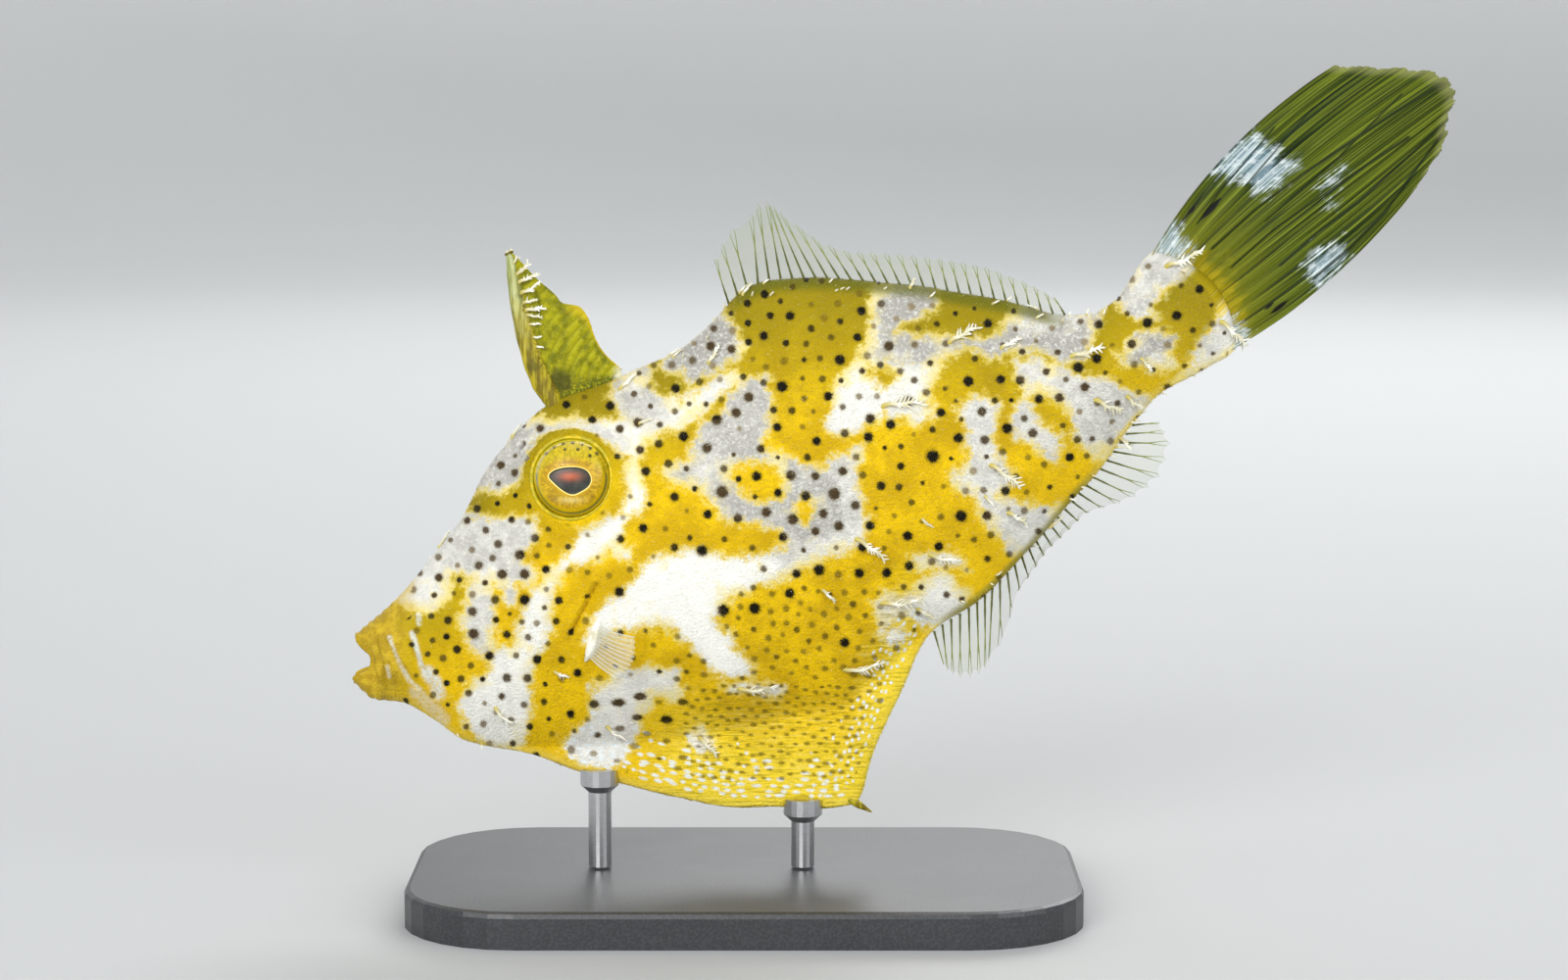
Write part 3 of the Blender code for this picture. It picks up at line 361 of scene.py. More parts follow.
# Yellow islands in the white
ISLANDS = [
    [(742, 480), (762, 469), (790, 476), (803, 490), (802, 507), (780, 516), (762, 508), (750, 499)],
    [(808, 512), (826, 507), (834, 520), (825, 538), (811, 531)],
    [(882, 376), (905, 372), (918, 384), (906, 398), (892, 392)],
    [
        (1046, 406), (1062, 402), (1080, 412), (1094, 430), (1096, 452), (1084, 446), (1066, 434),
        (1058, 424),
    ],
]
# The largest dark spots, as x, y and radius
SPOTS = [
    (457, 633, 5), (447, 589, 5), (488, 577, 5), (508, 555, 5), (530, 566, 6), (535, 586, 6),
    (512, 586, 6), (546, 549, 5), (557, 581, 5), (535, 612, 6.5), (505, 612, 5), (570, 613, 5),
    (482, 624, 5.5), (483, 647, 6.5), (517, 648, 5), (466, 663, 5), (499, 670, 5.5), (548, 673, 5.5),
    (517, 692, 5), (538, 692, 5), (589, 687, 5), (582, 729, 5), (551, 437, 5), (578, 413, 5),
    (557, 407, 5), (604, 428, 5), (622, 413, 5.5), (510, 474, 5), (525, 482, 5), (486, 519, 5),
    (632, 437, 5), (651, 431, 6), (653, 459, 5), (659, 481, 5.5), (672, 453, 5), (697, 445, 6),
    (682, 473, 5), (689, 396, 5.5), (688, 507, 5.5), (656, 539, 5.5), (633, 550, 5), (688, 559, 5),
    (716, 562, 7), (632, 604, 6), (725, 353, 5.5), (746, 356, 5), (780, 300, 5), (806, 322, 5.5),
    (779, 342, 5.5), (879, 317, 5.5), (875, 344, 5), (857, 367, 6.5), (798, 394, 7), (845, 404, 5.5),
    (764, 405, 6), (751, 421, 6), (731, 428, 6.5), (793, 436, 5.5), (833, 450, 5.5), (862, 442, 5),
    (776, 458, 5), (721, 457, 6), (888, 427, 6), (909, 433, 6), (886, 446, 6), (927, 409, 6),
    (960, 421, 5.5), (907, 353, 6), (988, 389, 6.5), (978, 447, 6), (952, 466, 8), (807, 485, 6),
    (832, 486, 5), (860, 481, 5.5), (772, 486, 6), (737, 502, 7.5), (794, 503, 5), (822, 506, 6),
    (851, 504, 7.5), (899, 496, 5.5), (873, 516, 5.5), (840, 524, 5.5), (782, 523, 6), (809, 530, 6.5),
    (753, 529, 5.5), (722, 525, 5.5), (799, 548, 5.5), (832, 542, 5), (856, 537, 6), (888, 537, 5.5),
    (926, 547, 6), (958, 558, 5.5), (981, 527, 7), (880, 559, 5.5), (836, 582, 7), (877, 585, 6),
    (905, 585, 6), (928, 578, 5.5), (813, 586, 5.5), (806, 606, 6), (770, 621, 7), (738, 623, 7),
    (1008, 330, 5.5), (1021, 387, 5.5), (1041, 388, 5.5), (1002, 420, 5.5), (1005, 449, 5.5),
    (1028, 437, 6.5), (1060, 407, 5.5), (1081, 406, 5.5), (1054, 442, 5.5), (1092, 467, 5.5),
    (1026, 501, 5.5), (1007, 526, 5.5), (1100, 375, 6.5), (1119, 366, 6), (1107, 395, 5.5),
    (1155, 351, 5.5), (1171, 329, 6.5), (1121, 331, 5.5), (1201, 322, 6), (1224, 295, 5.5),
    (1243, 289, 5.5), (862, 656, 6), (631, 717, 6.5), (653, 711, 6), (606, 719, 5.5), (680, 735, 6),
    (697, 717, 5), (650, 733, 5),
]
SPOT_SCALE = 0.9
# Small spots fill the rest: how far apart they stand, smallest and largest radius, and how dark they are
SPOT_REGIONS = [
    ("snout and cheek", (366, 560, 420, 720), 19.0, (2.8, 4.6), (0.3, 0.9)),
    ("belly flap", (700, 880, 700, 795), 11.0, (2.3, 3.3), (0.1, 0.5)),
    ("belly", (690, 900, 600, 800), 15.5, (3.0, 4.3), (0.1, 0.5)),
    ("back", (640, 900, 280, 420), 20.0, (3.0, 4.8), (0.15, 0.8)),
    ("elsewhere", (366, 1290, 220, 830), 20.0, (2.8, 4.8), (0.05, 0.8)),
]
# How far round a patch its distance is measured, in pixels, and the size of a pixel on the fish
PATCH_REACH = 16.0
MM_PER_PIXEL = 0.134
SPOT_TRIES = 9000
SPOT_FREE = "pectoral"
# Pale folds of the lips and chin, in pixels, with half width and strength
LIP_FOLDS = [
    ([(397, 650), (402, 665), (409, 681), (418, 696), (430, 704)], 2.4, 0.55),
    ([(420, 646), (423, 656), (427, 670), (431, 684), (438, 694)], 3.2, 0.8),
    ([(436, 686), (444, 696), (448, 708)], 7.5, 0.85), ([(426, 627), (427, 636)], 3.2, 0.6),
    ([(395, 680), (397, 691)], 2.4, 0.4), ([(424, 706), (440, 720), (452, 734)], 8.0, 0.4),
]
# Dashes of the belly flap: the rows' distances from its edge in millimetres and the chance of each dash
DASH_ROWS = [
    (1.8, 0.8), (2.6, 0.95), (3.4, 0.95), (4.2, 0.9), (5.1, 0.75), (6.0, 0.55), (7.0, 0.4), (8.1, 0.25),
    (9.3, 0.15),
]
# Half lengths and half heights of the dashes, in front of and behind the flap's corner
FRONT_DASH = ((0.36, 0.8), (0.24, 0.33))
REAR_DASH = ((0.26, 0.38), (0.20, 0.28))
DASH_GAP = (0.4, 0.9)
DASH_SECTIONS = (7.3, 15.2)

# Skin flaps of the left flank: x and y in the photograph, direction in degrees from the tail's
# side up, length in millimetres
FLAPS = [
    (1190, 272, 8, 5.4), (1250, 326, -34, 5.0), (1092, 364, 4, 4.6), (968, 350, 38, 4.8),
    (1022, 356, 40, 3.2), (900, 416, 14, 5.6), (1118, 408, -30, 4.4), (1150, 404, -46, 3.2),
    (1010, 474, -28, 5.2), (1028, 524, -24, 3.6), (874, 550, -26, 5.0), (948, 566, -24, 4.4),
    (838, 602, -38, 2.6), (900, 616, -4, 5.8), (936, 622, -32, 3.2), (862, 684, -8, 5.6),
    (754, 702, -12, 5.2), (714, 754, -38, 3.6), (620, 742, -58, 3.4), (505, 722, -62, 3.4),
    (448, 553, 112, 2.2), (522, 448, 100, 2.4), (632, 398, 44, 3.2), (686, 366, 78, 1.8),
    (758, 302, 84, 2.2), (722, 372, 48, 3.0), (1060, 316, 80, 1.6), (928, 294, 72, 2.0),
    (1142, 446, -30, 3.0), (1070, 540, -22, 2.4), (565, 686, -28, 2.2), (1005, 506, -40, 2.0),
    (940, 530, -50, 2.0), (1165, 366, -40, 2.4), (652, 432, 20, 2.0),
]

TAIL_PATCHES = [
    [
        (1228, 176), (1245, 157), (1260, 142), (1280, 132), (1295, 145), (1306, 149), (1306, 159),
        (1325, 163), (1317, 176), (1310, 186), (1295, 198), (1279, 198), (1268, 186), (1252, 186),
        (1240, 180),
    ],
    [(1344, 192), (1350, 181), (1360, 178), (1369, 169), (1372, 175), (1363, 186), (1349, 196)],
    [(1353, 211), (1355, 205), (1362, 204), (1361, 210)],
    [
        (1330, 270), (1344, 250), (1357, 250), (1371, 245), (1379, 262), (1362, 283), (1345, 298),
        (1334, 286),
    ],
    [
        (1165, 268), (1178, 242), (1193, 219), (1203, 224), (1206, 238), (1218, 250), (1215, 263),
        (1192, 270),
    ],
    [(1238, 318), (1260, 322), (1278, 344), (1271, 360), (1254, 370), (1240, 352)],
]
# Dark folds of the tail fin, as half width and stops, in pixels
TAIL_FOLDS = [
    (2.6, (1236, 254), (1280, 214), (1326, 180), (1420, 117), (1473, 84)),
    (2.2, (1256, 273), (1300, 233), (1353, 197), (1437, 140)),
    (2.4, (1306, 271), (1345, 237), (1387, 206), (1478, 121)),
    (2.8, (1340, 284), (1378, 252), (1413, 217), (1473, 134)),
    (1.8, (1222, 228), (1243, 197), (1300, 130)), (1.8, (1290, 226), (1366, 160), (1430, 96)),
    (1.6, (1270, 190), (1340, 110)),
]
TAIL_STREAKS = [
    ((1225, 224), (1246, 202), 3.6), ((1212, 219), (1220, 210), 2.6), ((1296, 320), (1314, 306), 2.8),
    ((1290, 316), (1300, 308), 1.8),
]


COLOURS = {
    # Skin
    "yellow": (0.88, 0.575, 0.001),
    "deep yellow": (0.64, 0.40, 0.0005),
    "olive yellow": (0.27, 0.215, 0.0015),
    # Painted light that brightens the downward face of the belly flap
    "painted_flap_light": (0.98, 0.79, 0.06),
    "pale yellow": (0.86, 0.70, 0.16),
    "white": (0.97, 0.96, 0.89),
    "lilac": (0.38, 0.365, 0.335),
    "spot": (0.009, 0.007, 0.002),
    "brown spot": (0.085, 0.055, 0.024),
    "faint brown spot": (0.27, 0.20, 0.10),
    "faint spot": (0.20, 0.135, 0.006),
    "ochre": (0.60, 0.41, 0.024),
    "dark ochre": (0.40, 0.26, 0.014),
    "olive": (0.13, 0.135, 0.006),
    "pale fold": (0.72, 0.78, 0.78),
    "dash": (0.82, 0.87, 0.88),
    "speck": (0.85, 0.82, 0.62),
    # Painted highlight of the bristle tips
    "bristle tip highlight": (0.95, 0.88, 0.6),
    "mouth": (0.035, 0.012, 0.008),
    # Skin flaps
    "flap root": (0.52, 0.42, 0.06),
    "dull cream": (0.70, 0.66, 0.46),
    "cream": (0.90, 0.88, 0.78),
    # Long fins and pectoral fins
    "fin streak": (0.45, 0.50, 0.22),
    "membrane root": (0.24, 0.28, 0.05),
    "membrane tip": (0.34, 0.40, 0.16),
    "ray root": (0.16, 0.17, 0.012),
    "ray tip": (0.20, 0.26, 0.05),
    "pectoral root": (0.90, 0.88, 0.72),
    "pectoral tip": (0.92, 0.90, 0.74),
    "pectoral ray root": (0.94, 0.92, 0.82),
    "pectoral ray tip": (0.94, 0.92, 0.78),
    # Tail fin
    "tail dark": (0.018, 0.036, 0.002),
    "tail olive": (0.060, 0.085, 0.003),
    "tail ray": (0.12, 0.155, 0.005),
    "tail line": (0.20, 0.24, 0.012),
    "tail groove": (0.008, 0.018, 0.002),
    "tail low": (0.20, 0.20, 0.004),
    "tail root": (0.42, 0.31, 0.002),
    # Painted shade of the hollows between the tail's rays
    "tail hollow shade": (0.006, 0.012, 0.003),
    "tail fold": (0.006, 0.014, 0.003),
    "tail streak": (0.006, 0.006, 0.004),
    "tail rim": (0.40, 0.40, 0.16),
    "slate blue": (0.16, 0.25, 0.30),
    "pale blue": (0.70, 0.79, 0.82),
    "blue white": (0.84, 0.88, 0.88),
    # Eyes
    "dull gold": (0.36, 0.215, 0.002),
    "gold": (0.66, 0.42, 0.004),
    "rust": (0.27, 0.14, 0.003),
    "brow": (0.34, 0.15, 0.01),
    "shine": (0.82, 0.68, 0.28),
    "iris rim": (0.60, 0.43, 0.006),
    "green line": (0.12, 0.17, 0.05),
    "dull lid": (0.40, 0.31, 0.004),
    "lid": (0.62, 0.47, 0.010),
    "eye edge": (0.42, 0.37, 0.006),
    "eye dot": (0.035, 0.03, 0.006),
    "pupil ring": (0.62, 0.34, 0.006),
    "pupil rim": (1.0, 0.84, 0.26),
    "slate": (0.020, 0.022, 0.018),
    "pale slate": (0.055, 0.058, 0.046),
    "glow": (0.52, 0.085, 0.008),
    "dull rim": (0.48, 0.39, 0.006),
    "rim": (0.72, 0.52, 0.006),
    # Spine and the skin behind it
    "spine dark": (0.17, 0.125, 0.004),
    "spine pale": (0.44, 0.36, 0.012),
    "spine green": (0.26, 0.29, 0.09),
    "spine pale green": (0.50, 0.54, 0.28),
    "spine blotch": (0.07, 0.065, 0.006),
    "veil dark": (0.15, 0.155, 0.003),
    "veil pale": (0.37, 0.345, 0.004),
    "veil mottle": (0.50, 0.45, 0.03),
    "veil arc": (0.09, 0.10, 0.003),
    "veil root": (0.10, 0.11, 0.006),
    "veil edge": (0.62, 0.44, 0.012),
    "veil blotch": (0.045, 0.045, 0.008),
    "veil corner": (0.74, 0.72, 0.56),
    # Teeth, stand and floor
    "dull tooth": (0.80, 0.76, 0.62),
    "tooth": (0.90, 0.88, 0.80),
    "base": (0.022, 0.023, 0.026),
    "base speck": (0.045, 0.047, 0.05),
    "base haze": (0.06, 0.06, 0.065),
    "dark steel": (0.42, 0.42, 0.43),
    "steel": (0.70, 0.70, 0.71),
    "floor": (0.46, 0.47, 0.47),
    "floor shade": (0.42, 0.43, 0.43),
    "wall": (0.84, 0.85, 0.85),
}


def smooth_through(values):
    """A smooth curve through evenly spaced values that never swings past them."""
    values = np.asarray(values, float)
    steps = np.diff(values)
    slopes = np.empty(len(values))
    slopes[0], slopes[-1] = steps[0], steps[-1]
    before, after = steps[:-1], steps[1:]
    even = before * after > 0
    slopes[1:-1] = np.where(even, 2 * before * after / np.where(even, before + after, 1.0), 0.0)

    def curve(at):
        at = np.asarray(at, float)
        i = np.clip(np.floor(at).astype(int), 0, len(values) - 2)
        f = at - i
        rise = steps[i]
        a = slopes[i] + slopes[i + 1] - 2 * rise
        b = 3 * rise - 2 * slopes[i] - slopes[i + 1]
        return values[i] + f * (slopes[i] + f * (b + f * a))

    return curve


SECTION_CURVES = [smooth_through([row[i] for row in SECTIONS]) for i in range(8)]


def table_curve(rows):
    """A value that follows a table of (share, value), straight between its rows."""
    shares, values = zip(*rows)
    return lambda at: np.interp(at, shares, values)


def path_through(points):
    """A smooth plane curve through the points, as a function of a share from 0 to 1."""
    along_x = smooth_through([p[0] for p in points])
    along_z = smooth_through([p[1] for p in points])
    last = len(points) - 1
    return lambda share: vectors(along_x(share * last), 0.0, along_z(share * last))


def vectors(x, y, z):
    return np.stack(np.broadcast_arrays(np.asarray(x, float), y, z), axis=-1)


def lengths(v):
    return np.linalg.norm(v, axis=-1, keepdims=True)


def unit(v):
    return v / np.maximum(lengths(v), 1e-9)


def ease(low, high, value):
    """0 below low, 1 above high, and smooth between them."""
    share = np.clip((value - low) / (high - low), 0, 1)
    return share * share * (3 - 2 * share)


def to_world(points):
    """Points of the fish's frame, in millimetres, as world points in metres, with the tail bent."""
    points = np.array(points, float)
    share = np.clip((points[..., 0] - BEND_FROM) / (BEND_TO - BEND_FROM), 0, 1)
    shift = vectors(-MODEL_MID_X, BEND_BY * share * share, SNOUT_HEIGHT)
    return (points + shift) * MM


def camera_place():
    aim = to_world([CAMERA_AIM])[0]
    back = np.array((0.0, -math.cos(CAMERA_TILT), math.sin(CAMERA_TILT)))
    return aim + back * CAMERA_DISTANCE * MM


def fall(low, high, value):
    """1 below low, 0 above high, and smooth between them."""
    return 1 - ease(low, high, value)


def span(stops, value):
    """0, then 1 between the second and the third stop, then 0 again, and smooth between them."""
    return ease(stops[0], stops[1], value) * fall(stops[2], stops[3], value)


def bell(value, width):
    """1 at zero, and falling off to both sides within about the width."""
    return np.exp(-((value / width) ** 2))


def picture_place(world):
    """Where world points show in the photograph, in pixels."""
    away = world - camera_place()
    forward = np.array((0.0, math.cos(CAMERA_TILT), -math.sin(CAMERA_TILT)))
    up = np.array((0.0, math.sin(CAMERA_TILT), math.cos(CAMERA_TILT)))
    reach = LENS / SENSOR * PICTURE_WIDTH / (away @ forward)
    across = PICTURE_WIDTH / 2 + reach * away[..., 0]
    down = PICTURE_HEIGHT / 2 - reach * (away @ up)
    return np.stack([across, down], axis=-1)


def back_and_belly(s):
    values = [curve(s) for curve in SECTION_CURVES[:4]]
    return vectors(values[0], 0.0, values[1]), vectors(values[2], 0.0, values[3])


def half_width(s, t):
    width, edge, share = (curve(s) for curve in SECTION_CURVES[4:7])
    width = width * np.sqrt(1 - 0.5 * (1 - np.minimum(1.0, s / LIP_ROUNDING)) ** 2)
    inside = np.clip(t / share, 0, 1)
    wave = np.sin(math.pi * inside ** (math.log(0.5) / math.log(WIDEST)))
    body = width * np.maximum(wave, 0.0) ** FULLNESS
    slab = edge * np.sqrt(np.maximum(0.0, 1 - np.abs(2 * t - 1) ** 10))
    return (body**3 + slab**3) ** (1 / 3)


def mid_point(s, t):
    """Points of the fish's middle plane at sections s and shares t from back to belly."""
    s, t = np.broadcast_arrays(np.asarray(s, float), np.asarray(t, float))
    back, belly = back_and_belly(s)
    line = belly - back
    tailward = unit(vectors(-line[..., 2], 0.0, line[..., 0]))
    swell = sum(push * np.exp(-(((t - share) / width) ** 2)) for share, width, push in LIP_SWELLS)
    fading = np.maximum(0.0, 1 - s / LIP_SWELLS_END) ** 2
    bow = SECTION_CURVES[7](s) * 4 * t * (1 - t) - swell * fading
    return back + line * t[..., None] + tailward * bow[..., None]


def flank(s, t, side):
    point = mid_point(s, t)
    point[..., 1] = side * half_width(s, t)
    return point


def section_at(x, z):
    """The section and share that show at x, z from the side."""
    s, t = np.meshgrid(np.linspace(0, BODY_END, 441), np.linspace(0, 1, 201), indexing="ij")
    away = mid_point(s, t) - vectors(x, 0.0, z)
    best = np.argmin((away**2).sum(axis=-1))
    return s.ravel()[best], t.ravel()[best]


def flank_normal(s, t, side):
    step = 0.02
    t = min(0.98, max(0.02, t))
    along = flank(s + step, t, side) - flank(s - step, t, side)
    down = flank(s, t + step, side) - flank(s, t - step, side)
    normal = unit(np.cross(along, down))
    return normal if normal[1] * side > 0 else -normal


def eye_frame(side, sink):
    """Centre and outward axis of one eye, sunk under the flank of the head."""
    s, t = section_at(EYE_X, EYE_Z)
    surface = flank(s, t, side)
    axis = unit(flank_normal(s, t, side) + np.array((0.0, 2.2 * side, 0.0)))
    return surface - axis * sink, axis


def to_segment(points, start, end):
    """Distance of plane points from the segment, and how far along it each falls."""
    start, end = np.asarray(start, float), np.asarray(end, float)
    run = end - start
    share = np.clip(((points - start) @ run) / (run @ run), 0, 1)
    return np.linalg.norm(points - start - share[..., None] * run, axis=-1), share


def inside_outline(points, outline, reach):
    """Signed distance of plane points from a closed outline: above zero inside, and no lower than -reach."""
    outline = np.asarray(outline, float)
    found = np.full(len(points), -reach, float)
    low, high = outline.min(axis=0) - reach, outline.max(axis=0) + reach
    near = np.flatnonzero(((points > low) & (points < high)).all(axis=1))
    if not len(near):
        return found
    here = points[near]
    nearest = np.full(len(here), np.inf)
    crossings = np.zeros(len(here), int)
    for a, b in zip(outline, np.roll(outline, -1, axis=0)):
        nearest = np.minimum(nearest, to_segment(here, a, b)[0])
        spans = (a[1] > here[:, 1]) != (b[1] > here[:, 1])
        rise = b[1] - a[1] if b[1] != a[1] else 1e-9
        crossings += spans & (here[:, 0] < (b[0] - a[0]) * (here[:, 1] - a[1]) / rise + a[0])
    found[near] = np.where(crossings % 2 == 1, nearest, np.maximum(-nearest, -reach))
    return found


def tail_direction():
    """Across the last section, away from the body."""
    back, belly = back_and_belly(np.array(BODY_END))
    return unit(np.array((back[2] - belly[2], 0.0, belly[0] - back[0])))


def rounded(outline):
    """A closed outline with its corners cut twice."""
    outline = np.asarray(outline, float)
    for _ in range(2):
        after = np.roll(outline, -1, axis=0)
        cuts = [outline * near + after * (1 - near) for near in (0.75, 0.25)]
        outline = np.stack(cuts, axis=1).reshape(-1, 2)
    return outline


def waves(points, pitch, seed):
    """Smooth uneven values from about -1 to 1 over plane points, with hills about pitch apart."""
    chance = np.random.default_rng(seed)
    total = np.zeros(points.shape[:-1])
    for _ in range(WAVE_COUNT):
        turn, phase = chance.uniform(0, math.tau, 2)
        stretch = math.tau / pitch * chance.uniform(*WAVE_STRETCH)
        ahead = points[..., 0] * math.cos(turn) + points[..., 1] * math.sin(turn)
        total += np.sin(ahead * stretch + phase)
    return total / WAVE_REACH


def spot_places():
    """The large spots and, spread evenly between them, the small ones: x, y, radius and darkness."""
    chance = np.random.default_rng(12)
    placed = []
    for x, y, r in SPOTS:
        placed.append((x, y, r + 0.3, min(1.0, 0.6 + (r - 5) * 0.2 + chance.uniform(0, 0.3))))
    taken = np.array([place[:3] for place in placed])
    bare = PATCHES[SPOT_FREE][1]
    for _, (left, right, top, low), spacing, radii, darkness in SPOT_REGIONS:
        tries = chance.uniform((left, top), (right, low), (SPOT_TRIES, 2))
        tries = tries[inside_outline(tries, bare, 20.0) < -1.0]
        for x, y in tries:
            room = spacing * chance.uniform(0.75, 1.0) + 0.6 * (taken[:, 2] - 4)
            if ((x - taken[:, 0]) ** 2 + (y - taken[:, 1]) ** 2 > room**2).all():
                radius = chance.uniform(*radii)
                placed.append((x, y, radius, chance.uniform(*darkness)))
                taken = np.vstack([taken, (x, y, radius)])
    return [(x, y, radius * SPOT_SCALE, darkness) for x, y, radius, darkness in placed]


def dashes(along, from_belly):
    """Rows of pale dashes that follow the edge of the belly flap: above zero inside a dash."""
    chance = np.random.default_rng(33)
    found = np.full(len(along), -1.0)
    first, last = np.interp(DASH_SECTIONS, BELLY_STOPS, BELLY_LENGTHS)
    corner = np.interp(FLAP_CORNER, BELLY_STOPS, BELLY_LENGTHS)
    for offset, likely in DASH_ROWS:
        place = first + chance.uniform(0, 4.0)
        while place < last:
            rear = place > corner - 1.5
            half_lengths, half_heights = REAR_DASH if rear else FRONT_DASH
            half_length = chance.uniform(*half_lengths)
            half_height = chance.uniform(*half_heights)
            row = offset + chance.uniform(-0.2, 0.2)
            if chance.uniform() < likely * (fall(4.0, 7.0, offset) if rear else 1.0):
                near = np.flatnonzero((np.abs(along - place) < 2.2) & (np.abs(from_belly - row) < 0.8))
                ahead, aside = along[near] - place, from_belly[near] - row
                here = 1 - np.hypot(ahead / half_length, aside / half_height)
                found[near] = np.maximum(found[near], here)
            place += half_length * 2 + chance.uniform(*DASH_GAP)
    return found


def lip_folds(seen):
    """How pale the folds of the lips and chin make each place, from 0 to 1."""
    pale = np.zeros(len(seen))
    for stops, half_width_px, strength in LIP_FOLDS:
        for start, end in zip(stops, stops[1:]):
            away, _ = to_segment(seen, start, end)
            pale = np.maximum(pale, strength * fall(0.35, 1.3, away / half_width_px))
    return pale


def patch_marks(seen):
    """How far inside a white patch each place lies, in pixels, and how grey the patches near it are."""
    white = np.full(len(seen), -PATCH_REACH)
    grey = np.zeros(len(seen))
    weight = np.full(len(seen), 1e-6)
    for tone, outline in PATCHES.values():
        found = inside_outline(seen, outline, PATCH_REACH)
        white = np.maximum(white, found)
        pull = np.exp(found / 4)
        grey += pull * tone
        weight += pull
    for outline in ISLANDS:
        white = np.minimum(white, -inside_outline(seen, outline, PATCH_REACH))
    return white, grey / weight


def spot_marks(seen):
    """How deep inside a dark spot each place lies, from -1 well outside to 1, and how dark the spot is."""
    spot = np.full(len(seen), -1.0)
    dark = np.zeros(len(seen))
    for x, y, radius, darkness in spot_places():
        across, down = (seen - (x, y)).T
        near = np.flatnonzero((np.abs(across) < 2.2 * radius) & (np.abs(down) < 2.2 * radius))
        # The spots of the belly flap are flatter
        flatter = math.sqrt(1 + 0.7 * ease(650, 730, y) * ease(580, 640, x))
        here = 1 - np.hypot(across[near] / flatter, down[near] * flatter) / radius
        closer = here > spot[near]
        spot[near[closer]] = here[closer]
        dark[near[closer]] = darkness
    return spot, dark


def markings(points, side, s, t):
    """What the skin's material needs to know at each point of one flank, as named arrays."""
    plane = points[:, ::2]
    seen = picture_place(to_world(points * np.array((1.0, -side * 1.0, 1.0))))
    back, belly = back_and_belly(s)
    length = lengths(belly - back)[..., 0]
    from_back, from_belly = t * length, (1 - t) * length
    if side == RIGHT:
        shift = np.stack([waves(seen, 190, 3) * 16, waves(seen, 190, 4) * 14], axis=-1)
        seen = seen + shift * ease(0.0, 7.0, np.minimum(from_back, from_belly))[:, None]
    white, grey = patch_marks(seen)
    spot, dark = spot_marks(seen)
    olive = span(DORSAL_BASE, s) * fall(0.6, 2.2, from_back)
    olive = np.maximum(olive, span(ANAL_BASE, s) * fall(0.4, 2.0, from_belly) * 0.8)
    # Painted shade: the yellow at the root of the tail darkens towards olive, where it lies in shadow
    olive = np.maximum(olive, ease(19.6, 22.0, s) * 0.6 * fall(-6.0, 2.0, white))
    in_flap = span(FLAP_SPAN, s) * fall(13.0, 19.0, from_belly)
    lips = fall(1.5, 2.6, s + waves(plane, 4.0, 9) * 0.25)
    bare = ((in_flap > 0.1) & (from_belly < 3.6)) | (lips > 0.4)
    around_eye = fall(5.5, 6.3, np.hypot(plane[:, 0] - EYE_X, plane[:, 1] - EYE_Z))
    near_edge = (s > 6.8) & (s < 15.5) & (from_belly < 18.0)
    return {
        "white": white - 16 * lips - 12 * around_eye - 5 * fall(0.3, 1.4, from_belly),
        "grey": grey,
        "spot": np.where(bare, -1.0, spot) - 2 * around_eye,
        "dash": dashes(*belly_edge_place(plane, near_edge)),
        "pale": lip_folds(seen),
        "dark": dark * (1 - 0.45 * in_flap),
        "olive": olive,
        "lips": lips,
        "in_flap": in_flap,
        "from_belly": from_belly,
        "from_back": from_back,
        "mouth": 0.85 * fall(0.5, 1.15, nostril_distance(plane)),
        "flat": np.stack([seen[:, 0], seen[:, 1], np.full(len(seen), side * 400.0)], axis=-1) * MM_PER_PIXEL,
    }


BELLY_STOPS = np.linspace(0, BODY_END, 1101)
BELLY_LINE = back_and_belly(BELLY_STOPS)[1][:, ::2]
BELLY_LENGTHS = np.concatenate([[0.0], np.cumsum(lengths(np.diff(BELLY_LINE, axis=0))[:, 0])])


def belly_edge_place(plane, chosen):
    """How far along the belly line and how far from it the chosen plane points lie. The rest lie far off."""
    along, away = np.zeros(len(plane)), np.full(len(plane), 99.0)
    near = slice(*np.searchsorted(BELLY_STOPS, (6.5, 15.8)))
    stops, reached = BELLY_LINE[near], BELLY_LENGTHS[near]
    runs = unit(np.gradient(stops, axis=0))
    for part in np.array_split(np.flatnonzero(chosen), 40):
        gap = plane[part][:, None] - stops
        nearest = (gap**2).sum(axis=-1).argmin(axis=1)
        gap = gap[np.arange(len(part)), nearest]
        ahead = (gap * runs[nearest]).sum(axis=1)
        along[part] = reached[nearest] + ahead
        away[part] = np.sqrt(np.maximum((gap**2).sum(axis=1) - ahead**2, 0.0))
    return along, away


def nostril_distance(plane):
    """Distance from the nearest nostril, counted in its radius."""
    return np.min([np.hypot(plane[:, 0] - x, plane[:, 1] - z) for x, z in NOSTRILS], axis=0) / NOSTRIL_RADIUS


def eye_relief(points, side):
    """The swelling round one eye, its socket and the fine rings about it."""
    centre, axis = eye_frame(side, 0.0)
    away = points - centre
    off_axis = np.linalg.norm(away - (away @ axis)[:, None] * axis, axis=1)
    on_side = (np.sign(points[:, 1]) == side) | (np.abs(points[:, 1]) < 0.5)
    off_axis = np.where(on_side, off_axis, 99.0)
    height = 0.95 * fall(5.8, 8.4, off_axis) - 4.2 * fall(4.95, 5.5, off_axis)
    return height + 0.07 * np.cos(off_axis * 5.2) * span((5.5, 6.0, 5.9, 8.0), off_axis)


def gill_relief(plane):
    """The gill slit with its raised front edge, and the root of the pectoral fin."""
    slit, _ = to_segment(plane, *GILL_SLIT)
    ahead = (plane[:, 0] - GILL_MIDDLE[0]) - (plane[:, 1] - GILL_MIDDLE[1]) * GILL_SLOPE
    root, _ = to_segment(plane, *PECTORAL_ROOT)
    return 0.28 * bell(slit, 1.1) * (ahead < 0) - 0.75 * bell(slit, 0.33) + 0.5 * bell(root, 1.1)


